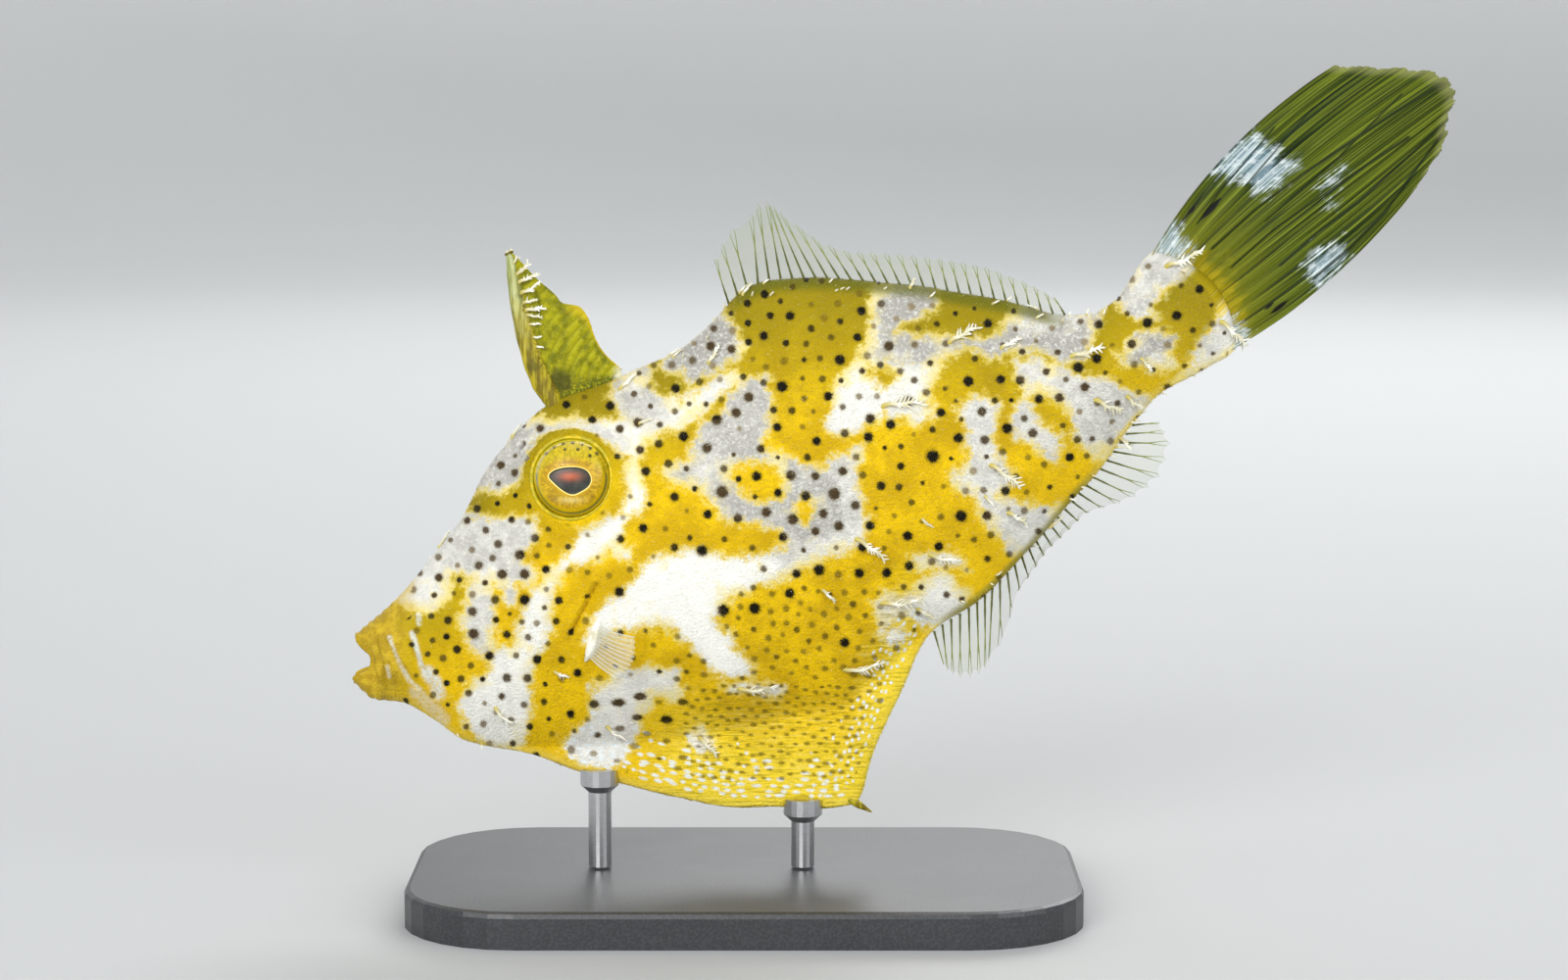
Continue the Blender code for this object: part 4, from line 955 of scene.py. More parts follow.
def crease_relief(plane):
    """The creases beside the mouth, each with a raised edge, and the pits of the nostrils."""
    height = np.zeros(len(plane))
    for start, end, depth in LIP_CREASES:
        fold, share = to_segment(plane, start, end)
        fades = np.sin(math.pi * np.clip(share, 0.04, 0.96)) ** 0.5
        height += depth * fades * (0.6 * bell(fold - 0.8, 0.5) - bell(fold, 0.34))
    pit = nostril_distance(plane)
    return height + 0.28 * bell(pit - 1.7, 0.7) - 0.8 * fall(0.5, 1.25, pit)


def relief(points, side, s, t):
    """How far the skin stands out from the plain body, in millimetres."""
    plane = points[:, ::2]
    x, z = plane.T
    back, belly = back_and_belly(s)
    from_belly = (1 - t) * lengths(belly - back)[..., 0]
    height = eye_relief(points, side) + gill_relief(plane) + crease_relief(plane)
    for pitch, seed, rise in HILLS:
        height += waves(plane, pitch, seed) * rise
    height += 0.10 * fall(0.6, 2.4, s) * np.sin(x * 5.2 + z * 1.2 + waves(plane, 5.0, 41))
    in_flap = span((8.4, 9.6, 14.0, 15.0), s) * fall(10.0, 17.0, from_belly)
    height += 0.05 * in_flap * np.sin(z * 9.5 + 2 * waves(plane, 9.0, 31))
    crest = span((9.8, 10.2, 17.8, 18.4), s) * fall(0.5, 2.0, t * 60)
    return height + 0.15 * crest


def skin_grid():
    """Sections, shares and sides of the skin's grid, with more rows where sections lie far apart."""
    stops = []
    for k in range(int(BODY_END)):
        ends = [back_and_belly(np.array(float(k + e))) for e in (0, 1)]
        run = sum(np.linalg.norm(ends[1][i] - ends[0][i]) for i in (0, 1)) / 2
        count = max(6, int(math.ceil(run / SKIN_STEP)))
        stops += [k + i / count for i in range(count)]
    stops.append(BODY_END)
    even = np.linspace(0, 1, SKIN_COLUMNS + 1)
    shares = 0.6 * even + 0.4 * (1 - np.cos(math.pi * even)) / 2
    t = np.concatenate([shares, shares[-2:0:-1]])
    side = np.concatenate([np.full(len(shares), LEFT), np.full(len(shares) - 2, RIGHT)])
    s, t = np.meshgrid(stops, t, indexing="ij")
    return s, t, np.broadcast_to(side, s.shape)


def grid_normals(points):
    """Outward normals of a closed tube of rows."""
    down = np.roll(points, -1, axis=1) - np.roll(points, 1, axis=1)
    along = np.gradient(points, axis=0)
    return unit(np.cross(down, along))


def build_skin():
    """The skin's points, normals and markings on its grid."""
    s, t, side = skin_grid()
    points = mid_point(s, t)
    points[..., 1] = side * half_width(s, t)
    normals = grid_normals(points)
    height = np.zeros(s.shape)
    marks = {}
    for which in (LEFT, RIGHT):
        pick = side == which
        height[pick] = relief(points[pick], which, s[pick], t[pick])
        for name, values in markings(points[pick], which, s[pick], t[pick]).items():
            marks.setdefault(name, np.zeros(s.shape + values.shape[1:]))[pick] = values
    fade = span((0.0, 0.5, 21.6, 22.0), s)
    points = points + normals * (height * fade - COAT_DEPTH)[..., None]
    skin = {"s": s, "t": t, "side": side, "points": points, "normals": grid_normals(points), "marks": marks}
    skin["seen"] = picture_place(to_world(points[:, : SKIN_COLUMNS + 1]))
    return skin


def ring_faces(rows, columns):
    """Quads of a closed tube of rows."""
    i, j = np.meshgrid(np.arange(rows - 1) * columns, np.arange(columns), indexing="ij")
    after = (j + 1) % columns
    return np.stack([i + j, i + after, i + columns + after, i + columns + j], axis=-1).reshape(-1, 4)


def sheet_faces(rows, columns, offset=0):
    """Quads of an open sheet of rows."""
    i, j = np.meshgrid(np.arange(rows - 1), np.arange(columns - 1), indexing="ij")
    first = i * columns + j + offset
    return np.stack([first, first + 1, first + columns + 1, first + columns], axis=-1).reshape(-1, 4)


def add_mesh(name, world, faces, material, smooth=True):
    """A mesh object from world points and faces of one size, given as an array."""
    faces = np.asarray(faces)
    mesh = bpy.data.meshes.new(name)
    mesh.vertices.add(len(world))
    mesh.vertices.foreach_set("co", np.asarray(world, np.float32).ravel())
    mesh.loops.add(faces.size)
    mesh.loops.foreach_set("vertex_index", faces.astype(np.int32).ravel())
    mesh.polygons.add(len(faces))
    mesh.polygons.foreach_set("loop_start", np.arange(0, faces.size, faces.shape[1], dtype=np.int32))
    mesh.update(calc_edges=True)
    mesh.validate()
    if smooth:
        mesh.shade_smooth()
    obj = bpy.data.objects.new(name, mesh)
    bpy.context.scene.collection.objects.link(obj)
    obj.data.materials.append(material)
    return obj


def paint(obj, values):
    """Writes named values, one for each vertex, for the material to read."""
    for name, data in values.items():
        kind, field = ("FLOAT_VECTOR", "vector") if data.ndim == 2 else ("FLOAT", "value")
        attribute = obj.data.attributes.new(name, kind, "POINT")
        attribute.data.foreach_set(field, np.ascontiguousarray(data, np.float32).ravel())


def add_map(obj, places):
    """Writes the OFBake map from one place for each vertex."""
    layer = obj.data.uv_layers.new(name="OFBake")
    order = np.empty(len(obj.data.loops), np.int32)
    obj.data.loops.foreach_get("vertex_index", order)
    layer.data.foreach_set("uv", np.asarray(places, np.float32)[order].ravel())


def unwrap(s, t, side):
    """The skin's own unwrap: the left flank on one half of the map and the right on the other."""
    half = (np.asarray(side) > 0) * 0.5
    return np.stack([0.01 + half + s / BODY_END * 0.48, 0.01 + (1 - t) * 0.98], axis=-1)


def mouth_rings(first):
    """Rings that carry the skin's front edge round the lips and into the mouth, the innermost first."""
    mouth = mid_point(0.0, MOUTH_LINE)
    rings = []
    for high, wide, deep in reversed(MOUTH_RINGS):
        ring = mouth + (first - mouth) * high
        ring[:, 0] += deep
        ring[:, 1] = first[:, 1] * wide
        rings.append(ring)
    return np.array(rings)


def flesh_end_rings(last):
    """Rings that round the skin off inside the root of the tail fin."""
    rings = []
    for k in range(1, FLESH_END_RINGS + 1):
        turn = math.pi / 2 * k / FLESH_END_RINGS
        ring = last + tail_direction() * FLESH_END_LENGTH * math.sin(turn)
        ring[:, 1] = last[:, 1] * max(0.02, math.cos(turn))
        rings.append(ring)
    return np.array(rings)


def make_skin(skin, material):
    """The skin over the flesh, closed inside the mouth and in the root of the tail fin."""
    points = skin["points"]
    front, rear = mouth_rings(points[0]), flesh_end_rings(points[-1])
    rows = np.concatenate([front, points, rear])
    obj = add_mesh("skin", to_world(rows.reshape(-1, 3)), ring_faces(*rows.shape[:2]), material)
    marks = {}
    for name, values in skin["marks"].items():
        ends = [(len(front), len(rear))] + [(0, 0)] * (values.ndim - 1)
        marks[name] = np.pad(values, ends, mode="edge")
    for name in ("spot", "dash"):
        marks[name][-len(rear) :] = -1.0
    depths = ease(0.0, 3.0, np.array([deep for _, _, deep in reversed(MOUTH_RINGS)]))
    marks["mouth"][: len(front)] = np.maximum(marks["mouth"][: len(front)], depths[:, None])
    paint(obj, {name: values.reshape(-1, *values.shape[2:]) for name, values in marks.items()})
    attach(obj, "root")
    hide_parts("upper_lip", "lower_lip", "head", "torso", "belly_flap", "tail_base")


def cell_areas(points):
    """Area of each cell of the skin's grid."""
    right = np.roll(points, -1, axis=1)[:-1] - points[:-1]
    down = points[1:] - points[:-1]
    return np.linalg.norm(np.cross(right, down), axis=-1)


def scatter(skin, count, chance, keep):
    """Even random places on the skin: cell row, column, and the shares across the cell."""
    weight = (cell_areas(skin["points"]) * keep[:-1]).ravel()
    total = np.cumsum(weight)
    picks = (np.arange(count) + chance.uniform(0, 1, count)) / count * total[-1]
    cell = np.searchsorted(total, picks)
    columns = skin["points"].shape[1]
    return cell // columns, cell % columns, chance.uniform(0, 1, count), chance.uniform(0, 1, count)


def sample(values, places):
    """Values of the skin's grid at scattered places."""
    i, j, f, g = places
    after = (j + 1) % values.shape[1]
    if values.ndim == 3:
        f, g = f[:, None], g[:, None]
    top = values[i, j] * (1 - g) + values[i, after] * g
    low = values[i + 1, j] * (1 - g) + values[i + 1, after] * g
    return top * (1 - f) + low * f


def bristle_corners(skin, places, at_s, chance):
    """Three base corners and the tip of each bristle, which leans back along the skin."""
    count = len(at_s)
    root = sample(skin["points"], places)
    normal = unit(sample(skin["normals"], places))
    tailward = unit(np.array((1.0, 0.0, -0.15)))
    along = unit(tailward - normal * (tailward * normal).sum(axis=1, keepdims=True))
    across = np.cross(normal, along)
    length = BRISTLE_LENGTH * chance.uniform(0.6, 1.25, count) * (0.65 + 0.35 * ease(2.0, 6.0, at_s))
    width = BRISTLE_WIDTH * chance.uniform(0.8, 1.2, count)
    sway = chance.normal(0, 0.25, count)
    tip = root + (normal * 0.62 + along * 0.78 + across * sway[:, None]) * length[:, None]
    base = root - normal * 0.05
    corners = []
    for turn in BRISTLE_TURNS:
        corners.append(base + (along * math.cos(turn) + across * math.sin(turn)) * width[:, None])
    return np.stack(corners + [tip], axis=1)


def make_coat(skin, material):
    """The velvet of tiny bristles, in pieces along the body."""
    chance = np.random.default_rng(5)
    s = skin["s"]
    plane = skin["points"][..., ::2]
    eye = np.hypot(plane[..., 0] - EYE_X, plane[..., 1] - EYE_Z)
    pit = nostril_distance(plane.reshape(-1, 2)).reshape(s.shape)
    keep = ease(1.3, 2.4, s) * ease(6.0, 6.4, eye) * ease(1.1, 1.7, pit)
    places = scatter(skin, BRISTLES, chance, keep)
    at_s = sample(s, places)
    vertices = bristle_corners(skin, places, at_s, chance)
    marks = {name: sample(values, places) for name, values in skin["marks"].items()}
    middle = unwrap(at_s, sample(skin["t"], places), skin["side"][places[0], places[1]])
    order = np.argsort(at_s, kind="stable")
    for k, share in enumerate(np.array_split(order, COAT_PIECES)):
        first = np.arange(len(share))[:, None, None] * 4
        faces = (first + np.array([(0, 1, 3), (1, 2, 3), (2, 0, 3)])).reshape(-1, 3)
        coat = add_mesh(f"coat_{k}", to_world(vertices[share].reshape(-1, 3)), faces, material)
        values = {name: np.repeat(data[share], 4, axis=0) for name, data in marks.items()}
        # The tip corner of each bristle, where the skin's material paints a highlight
        values["tip"] = np.tile(np.array([0.0, 0.0, 0.0, 1.0]), len(share))
        paint(coat, values)
        add_map(coat, (middle[share][:, None] + MAP_PATCH[None]).reshape(-1, 2))
        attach(coat, "root")


class Graph:
    """A node material in the making. A colour may be given by its name in COLOURS."""

    def __init__(self, name):
        self.material = bpy.data.materials.new(name)
        self.material.use_nodes = True
        self.tree = self.material.node_tree
        self.shader = self.tree.nodes["Principled BSDF"]

    def node(self, kind, inputs=None, **settings):
        made = self.tree.nodes.new(kind)
        for key, value in settings.items():
            setattr(made, key, value)
        for key, value in (inputs or {}).items():
            self.feed(made.inputs[key], value)
        return made

    def feed(self, socket, value):
        if isinstance(value, bpy.types.NodeSocket):
            self.tree.links.new(value, socket)
        elif isinstance(value, str):
            socket.default_value = (*COLOURS[value], 1.0)
        else:
            socket.default_value = value

    def set(self, **values):
        """Sets the shader's inputs, with _ for each blank in their names."""
        for name, value in values.items():
            self.feed(self.shader.inputs[name.replace("_", " ")], value)

    def read(self, name, output="Fac"):
        return self.node("ShaderNodeAttribute", attribute_name=name).outputs[output]

    def position(self):
        return self.node("ShaderNodeNewGeometry").outputs["Position"]

    def math(self, operation, a, b=0.0, clamp=False):
        return self.node("ShaderNodeMath", {0: a, 1: b}, operation=operation, use_clamp=clamp).outputs[0]

    def add(self, a, b, clamp=False):
        return self.math("ADD", a, b, clamp)

    def times(self, a, b):
        return self.math("MULTIPLY", a, b)

    def ease(self, value, low, high):
        inputs = {"Value": value, "From Min": low, "From Max": high}
        return self.node("ShaderNodeMapRange", inputs, interpolation_type="SMOOTHSTEP").outputs["Result"]

    def mix(self, share, under, over):
        made = self.node("ShaderNodeMix", {0: share, 6: under, 7: over}, data_type="RGBA", blend_type="MIX")
        return made.outputs[2]

    def cover(self, under, over, value, low, high, most=None):
        """The under colour, covered as the value goes from low to high, and no more than the share most."""
        share = self.ease(value, low, high)
        return self.mix(share if most is None else self.times(share, most), under, over)

    def swing(self, noise, reach):
        """Noise about its middle, from minus to plus half the reach."""
        return self.times(self.math("SUBTRACT", noise, 0.5), reach)

    def noise(self, vector, scale, detail=3.0, roughness=0.55):
        inputs = {"Vector": vector, "Scale": scale, "Detail": detail, "Roughness": roughness}
        return self.node("ShaderNodeTexNoise", inputs).outputs["Fac"]

    def stretch(self, vector, factors):
        return self.node("ShaderNodeVectorMath", {0: vector, 1: factors}, operation="MULTIPLY").outputs[0]

    def bump(self, height, strength, distance):
        made = self.node("ShaderNodeBump", {"Height": height, "Strength": strength, "Distance": distance})
        self.set(Normal=made.outputs["Normal"])


def skin_material():
    """Velvety skin: yellow and white in soft patches, dark spots, pale dashes and ochre lips."""
    g = Graph("skin")
    flat = g.read("flat", "Vector")
    broad = g.noise(flat, 0.13, 3.0)
    rough = g.noise(flat, 0.7, 4.0, 0.6)
    fine = g.noise(flat, 2.4, 3.0, 0.6)
    fibres = g.noise(g.stretch(flat, (1.0, 0.36, 1.0)), 7.5, 3.0, 0.6)
    low = g.read("from_belly")
    in_flap = g.read("in_flap")
    ragged = g.add(g.swing(rough, 30.0), g.swing(fine, 9.0))
    edge = g.add(g.read("white"), g.add(ragged, g.swing(fibres, 8.0)))
    yellow = skin_yellow(g, broad, rough, fibres, low)
    white = skin_white(g, broad, rough, fine, fibres)
    cream = g.cover(yellow, "pale yellow", edge, -8.0, 0.0, 0.7)
    colour = g.cover(cream, white, edge, -4.0, 6.0)
    near_edge = g.times(g.ease(edge, 16.0, 5.0), g.ease(edge, -6.0, 2.0))
    tinge = g.times(g.ease(broad, 0.48, 0.62), near_edge)
    colour = g.mix(g.times(tinge, 0.55), colour, "pale yellow")
    colour = g.cover(colour, "pale yellow", low, 1.8, 0.2, 0.45)
    # The olive mark: the fins' roots in their own olive, and painted shade at the root of the tail
    colour = g.mix(g.times(g.read("olive"), 0.85), colour, "olive")
    colour = flap_colour(g, colour, flat, fine, edge, low, in_flap)
    lips = g.cover("dark ochre", "ochre", rough, 0.4, 0.62)
    colour = g.mix(g.times(g.read("lips"), 0.9), colour, lips)
    colour = g.cover(colour, "pale fold", fine, 0.25, 0.55, g.read("pale"))
    # Painted highlight: the bristle tips are lightened as if they caught the light
    colour = g.mix(g.times(g.read("tip"), 0.1), colour, "bristle tip highlight")
    colour = spotted(g, colour, fine, fibres, edge)
    colour = g.cover(colour, "speck", g.noise(flat, 8.0, 2.0), 0.66, 0.74, 0.55)
    colour = g.mix(g.read("mouth"), colour, "mouth")
    g.set(Base_Color=colour, Specular_IOR_Level=0.1)
    g.set(Roughness=g.math("SUBTRACT", 0.62, g.times(g.read("lips"), 0.2)))
    cells = g.node("ShaderNodeTexVoronoi", {"Vector": flat, "Scale": 3.4}, feature="F1").outputs["Distance"]
    g.bump(g.add(g.times(cells, -0.6), g.add(fine, g.times(fibres, 0.8))), 0.6, 0.0003)
    return g.material


def skin_yellow(g, broad, rough, fibres, low):
    """The skin's yellow: deeper in clouds, darkened to olive towards the back as painted shade, and clearer
    towards the belly.
    """
    colour = g.cover("deep yellow", "yellow", broad, 0.36, 0.60)
    colour = g.cover(colour, "deep yellow", rough, 0.52, 0.36, 0.55)
    # Painted shade: the upper flank is darkened to olive yellow towards the back
    colour = g.cover(colour, "olive yellow", g.read("from_back"), 24.0, 0.0, 0.9)
    colour = g.cover(colour, "yellow", low, 18.0, 2.0, 0.45)
    return g.cover(colour, "olive yellow", fibres, 0.46, 0.32, 0.5)


def skin_white(g, broad, rough, fine, fibres):
    """The skin's white, with lilac smudges where it is marked as grey."""
    grey = g.read("grey")
    smudged = g.add(0.1, g.times(grey, 0.9), clamp=True)
    colour = g.mix(grey, "white", "lilac")
    colour = g.cover(colour, "lilac", rough, 0.42, 0.6, g.times(smudged, 0.8))
    colour = g.cover(colour, "white", broad, 0.5, 0.66, g.times(smudged, 0.55))
    colour = g.cover(colour, "lilac", fibres, 0.46, 0.3, g.times(smudged, 0.6))
    return g.cover(colour, "white", fine, 0.48, 0.66, g.times(smudged, 0.5))


def flap_colour(g, colour, flat, fine, edge, low, in_flap):
    """The belly flap brightened by painted light on its downward face, with its fine lines and pale dashes.
    """
    # Painted light: the downward face of the belly flap is lifted to a bright yellow
    painted_flap_light = g.times(g.times(in_flap, g.ease(low, 18.0, 3.0)), g.ease(edge, 2.0, -4.0))
    colour = g.mix(g.times(painted_flap_light, 0.6), colour, "painted_flap_light")
    lines = g.noise(g.stretch(flat, (0.22, 2.4, 1.0)), 1.6, 3.0, 0.55)
    for line, thin, thick in (("olive yellow", 0.5, 0.66), ("pale yellow", 0.46, 0.32)):
        colour = g.cover(colour, line, lines, thin, thick, g.times(in_flap, 0.5))
    dash = g.add(g.read("dash"), g.swing(fine, 0.5))
    return g.cover(colour, "dash", dash, -0.25, 0.45, 0.9)


def spotted(g, colour, fine, fibres, edge):
    """Dark spots with soft edges: black on the yellow and brown on the white."""
    spot = g.add(g.read("spot"), g.add(g.swing(fine, 0.4), g.swing(fibres, 0.9)))
    dark = g.read("dark")
    black = g.cover("faint spot", "spot", dark, 0.1, 0.7)
    brown = g.cover("faint brown spot", "brown spot", dark, 0.1, 0.7)
    spot_colour = g.cover(black, brown, edge, -2.0, 5.0, 0.8)
    colour = g.cover(colour, "faint spot", spot, -0.5, 0.1, 0.28)
    return g.cover(colour, spot_colour, spot, -0.1, 0.36, g.add(0.6, g.times(dark, 0.5), clamp=True))


def flap_material():
    """Cream skin flaps with yellow roots."""
    g = Graph("skin_flap")
    cream = g.cover("dull cream", "cream", g.noise(g.position(), 700.0), 0.4, 0.6)
    g.set(Base_Color=g.cover("flap root", cream, g.read("along"), 0.0, 0.4))
    g.set(Roughness=0.5, Subsurface_Weight=0.15, Subsurface_Radius=(0.001, 0.0008, 0.0005))
    return g.material


def fin_material(name, root_colour, tip_colour, alpha):
    """A thin see-through fin, or its rays."""
    g = Graph(name)
    across = g.read("across", "Vector")
    streaks = g.noise(g.stretch(across, (1.0, 0.12, 1.0)), 3.0, 3.0)
    colour = g.mix(g.read("along"), root_colour, tip_colour)
    g.set(Base_Color=g.cover(colour, "fin streak", streaks, 0.4, 0.7, 0.3), Roughness=0.35, Alpha=alpha)
    g.bump(streaks, 0.3, 0.0001)
    return g.material


def tail_material():
    """Olive tail fin with fine lines and dark folds along its rays, painted shade in the hollows between
    them, and pale patches near its root.
    """
    g = Graph("tail_fin")
    across = g.read("across", "Vector")
    ridge = g.read("ridge")
    along = g.read("along")
    lines = g.noise(g.stretch(across, (3.0, 0.012, 1.0)), 1.5, 3.0, 0.6)
    broad = g.noise(g.stretch(across, (0.45, 0.03, 1.0)), 1.0, 3.0)
    blotch = g.noise(g.stretch(across, (0.9, 0.45, 1.0)), 1.1, 4.0, 0.6)
    colour = g.cover("tail dark", "tail olive", broad, 0.38, 0.6)
    colour = g.cover(colour, "tail ray", ridge, 0.35, 0.9, 0.4)
    colour = g.cover(colour, "tail line", lines, 0.51, 0.62, 0.75)
    colour = g.cover(colour, "tail groove", lines, 0.48, 0.37, 0.9)
    colour = g.cover(colour, "tail low", along, 0.35, 0.0, 0.6)
    colour = g.cover(colour, "tail root", g.add(along, g.swing(blotch, 0.2)), 0.12, 0.02, 0.7)
    # Painted shade: the hollows midway between the rays are darkened where the pleats lie in shadow
    colour = g.cover(colour, "tail hollow shade", ridge, 0.34, 0.05, g.ease(broad, 0.56, 0.44))
    white = g.add(g.read("white"), g.add(g.swing(lines, 34.0), g.swing(blotch, 44.0)))
    pale = g.cover("slate blue", "pale blue", lines, 0.42, 0.62)
    pale = g.cover(pale, "blue white", blotch, 0.5, 0.62, 0.6)
    colour = g.cover(colour, pale, white, -4.0, 12.0, 0.84)
    colour = g.cover(colour, "tail fold", g.add(g.read("fold"), g.swing(lines, 0.8)), 0.1, 0.8, 0.85)
    colour = g.cover(colour, "tail streak", g.add(g.read("black"), g.swing(lines, 3.0)), -0.4, 1.2)
    colour = g.cover(colour, "tail rim", along, 0.94, 1.0, 0.4)
    g.set(Base_Color=colour, Roughness=0.5, Specular_IOR_Level=0.15)
    g.bump(g.add(lines, g.times(ridge, 0.6)), 0.6, 0.00025)
    return g.material


def eye_material():
    """Golden iris inside a greenish ring, and a slate pupil with a red glow and a thin pale rim."""
    g = Graph("iris")
    radius = g.read("radius")
    pupil = g.read("pupil")
    rays = g.noise(g.read("polar", "Vector"), 2.4, 4.0, 0.65)
    patches = g.noise(g.read("eye_place", "Vector"), 0.55, 3.0)
    colour = g.cover("dull gold", "gold", rays, 0.36, 0.64)
    colour = g.cover(colour, "rust", patches, 0.52, 0.64, 0.6)
    colour = g.mix(g.read("brow"), colour, "brow")
    # Painted highlight: a pale golden glow across the lower iris
    colour = g.mix(g.times(g.read("shine"), 0.6), colour, "shine")
    colour = g.cover(colour, "iris rim", radius, 3.9, 4.4, 0.8)
    colour = g.mix(g.read("green_line"), colour, "green line")
    colour = g.mix(g.read("lid"), colour, g.cover("dull lid", "lid", rays, 0.36, 0.62))
    colour = g.cover(colour, "eye edge", radius, 4.95, 5.2)
    colour = g.mix(g.read("dots"), colour, "eye dot")
    colour = g.cover(colour, "pupil ring", pupil, -0.5, -0.2)
    colour = g.cover(colour, "pupil rim", pupil, -0.17, -0.12)
    inner = g.cover("slate", "pale slate", patches, 0.35, 0.65)
    inner = g.cover(inner, "glow", rays, 0.2, 0.55, g.read("glow"))
    colour = g.cover(colour, inner, pupil, -0.05, 0.03)
    g.set(Base_Color=colour, Roughness=0.34, Specular_IOR_Level=0.4)
    g.bump(rays, 0.3, 0.00015)
    return g.material


def cornea_material():
    """Clear wet cover of the eye: see-through, with a gloss that grows towards its edge."""
    g = Graph("cornea")
    tree = g.tree
    tree.nodes.remove(g.shader)
    clear = g.node("ShaderNodeBsdfTransparent").outputs[0]
    gloss = g.node("ShaderNodeBsdfGlossy", {"Roughness": 0.03}).outputs[0]
    share = g.node("ShaderNodeFresnel", {"IOR": 1.25}).outputs[0]
    made = g.node("ShaderNodeMixShader", {0: g.times(share, 0.35), 1: clear, 2: gloss}).outputs[0]
    tree.links.new(made, tree.nodes["Material Output"].inputs["Surface"])
    return g.material


def spine_material():
    """Olive yellow spine with streaks along it, greener and paler towards its tip."""
    g = Graph("spine")
    at = g.position()
    mottle = g.noise(at, 900.0, 4.0)
    streaks = g.noise(g.stretch(at, (3.0, 3.0, 0.3)), 500.0, 3.0)
    low = g.cover("spine dark", "spine pale", streaks, 0.4, 0.6)
    high = g.cover("spine green", "spine pale green", streaks, 0.4, 0.6)
    colour = g.cover(low, high, g.add(g.read("along"), g.swing(mottle, 0.4)), 0.35, 0.95)
    colour = g.cover(colour, "spine blotch", g.noise(at, 420.0, 2.0), 0.56, 0.68, 0.6)
    g.set(Base_Color=colour, Roughness=0.5, Specular_IOR_Level=0.25)
    g.bump(g.add(mottle, streaks), 0.5, 0.0002)
    return g.material


def veil_material():
    """Skin behind the spine: olive yellow with faint arcs, dark at its root and pale at its rear corner."""
    g = Graph("spine_veil")
    flat = g.read("flat", "Vector")
    arcs = g.read("arcs")
    mottle = g.noise(flat, 0.55, 4.0)
    fine = g.noise(flat, 3.0, 3.0)
    colour = g.cover("veil dark", "veil pale", mottle, 0.36, 0.62)
    colour = g.cover(colour, "veil mottle", fine, 0.5, 0.7, 0.35)
    colour = g.cover(colour, "veil arc", arcs, 0.6, 0.98, g.times(g.ease(mottle, 0.35, 0.6), 0.4))
    colour = g.cover(colour, "veil root", g.read("along"), 0.34, 0.08, g.ease(fine, 0.62, 0.45))
    colour = g.mix(g.times(g.read("rear_edge"), 0.75), colour, "veil edge")
    blotch = g.add(g.read("blotch"), g.swing(mottle, 1.6))
    colour = g.cover(colour, "veil blotch", blotch, 0.3, 0.8, 0.8)
    corner = g.add(g.read("corner"), g.swing(fine, 0.5))
    colour = g.cover(colour, "veil corner", corner, 0.3, 0.85, 0.75)
    g.set(Base_Color=colour, Roughness=0.55, Specular_IOR_Level=0.15)
    g.bump(g.add(fine, g.times(arcs, 0.4)), 0.5, 0.00025)
    return g.material


def stand_base_material():
    """Dark satin plastic with fine specks."""
    g = Graph("stand_base")
    at = g.position()
    speck = g.noise(at, 2600.0, 2.0)
    broad = g.noise(at, 40.0, 3.0)
    colour = g.cover("base", "base speck", speck, 0.4, 0.7)
    g.set(Base_Color=g.mix(g.times(broad, 0.3), colour, "base haze"))
    g.set(Roughness=g.add(0.3, g.times(broad, 0.18)))
    g.bump(speck, 0.25, 0.00004)
    return g.material


def stand_rod_material():
    """Brushed steel."""
    g = Graph("stand_rod")
    brush = g.noise(g.stretch(g.position(), (1.0, 1.0, 14.0)), 900.0, 3.0)
    g.set(Base_Color=g.mix(brush, "dark steel", "steel"), Metallic=1.0)
    g.set(Roughness=g.add(0.22, g.times(brush, 0.2)))
    g.bump(brush, 0.15, 0.00005)
    return g.material


def floor_material():
    """Pale matt floor that is lighter up its wall."""
    g = Graph("floor")
    at = g.position()
    height = g.node("ShaderNodeSeparateXYZ", {0: at}).outputs[2]
    floor = g.mix(g.times(g.noise(at, 6.0), 0.1), "floor", "floor shade")
    g.set(Base_Color=g.cover(floor, "wall", height, 0.0, 0.5), Roughness=0.8)
    return g.material


def tube(stops, radii, sides=6):
    """Points and quads of a limb through the stops, closed to a point at its end."""
    stops = np.asarray(stops, float)
    ahead = unit(np.gradient(stops, axis=0))
    across = unit(np.cross(ahead, np.array((0.13, 0.97, 0.21))))
    other = np.cross(ahead, across)
    turns = np.linspace(0, math.tau, sides, endpoint=False)
    ring = across[:, None] * np.cos(turns)[None, :, None] + other[:, None] * np.sin(turns)[None, :, None]
    points = stops[:, None] + ring * np.asarray(radii, float)[:, None, None]
    return points.reshape(-1, 3), ring_faces(len(stops), sides)


class Gather:
    """Collects many small pieces of quads into one mesh. A value may be one for all points of a piece."""

    def __init__(self):
        self.points, self.faces, self.values, self.count = [], [], {}, 0

    def add(self, points, faces, **values):
        self.points.append(points)
        self.faces.append(faces + self.count)
        self.count += len(points)
        for name, data in values.items():
            shape = (len(points), *np.shape(data)[1:])
            self.values.setdefault(name, []).append(np.broadcast_to(data, shape))

    def mesh(self, name, material):
        obj = add_mesh(name, to_world(np.concatenate(self.points)), np.concatenate(self.faces), material)
        paint(obj, {key: np.concatenate(rows) for key, rows in self.values.items() if key != "place"})
        return obj


def nearest_skin(skin, x, y, side):
    """Row and column of the skin's point that shows nearest to x, y in the photograph, on either flank."""
    seen = skin["seen"]
    away = np.hypot(seen[..., 0] - x, seen[..., 1] - y)
    row, column = np.unravel_index(np.argmin(away), away.shape)
    return (row, column) if side == LEFT else (row, -column % skin["t"].shape[1])


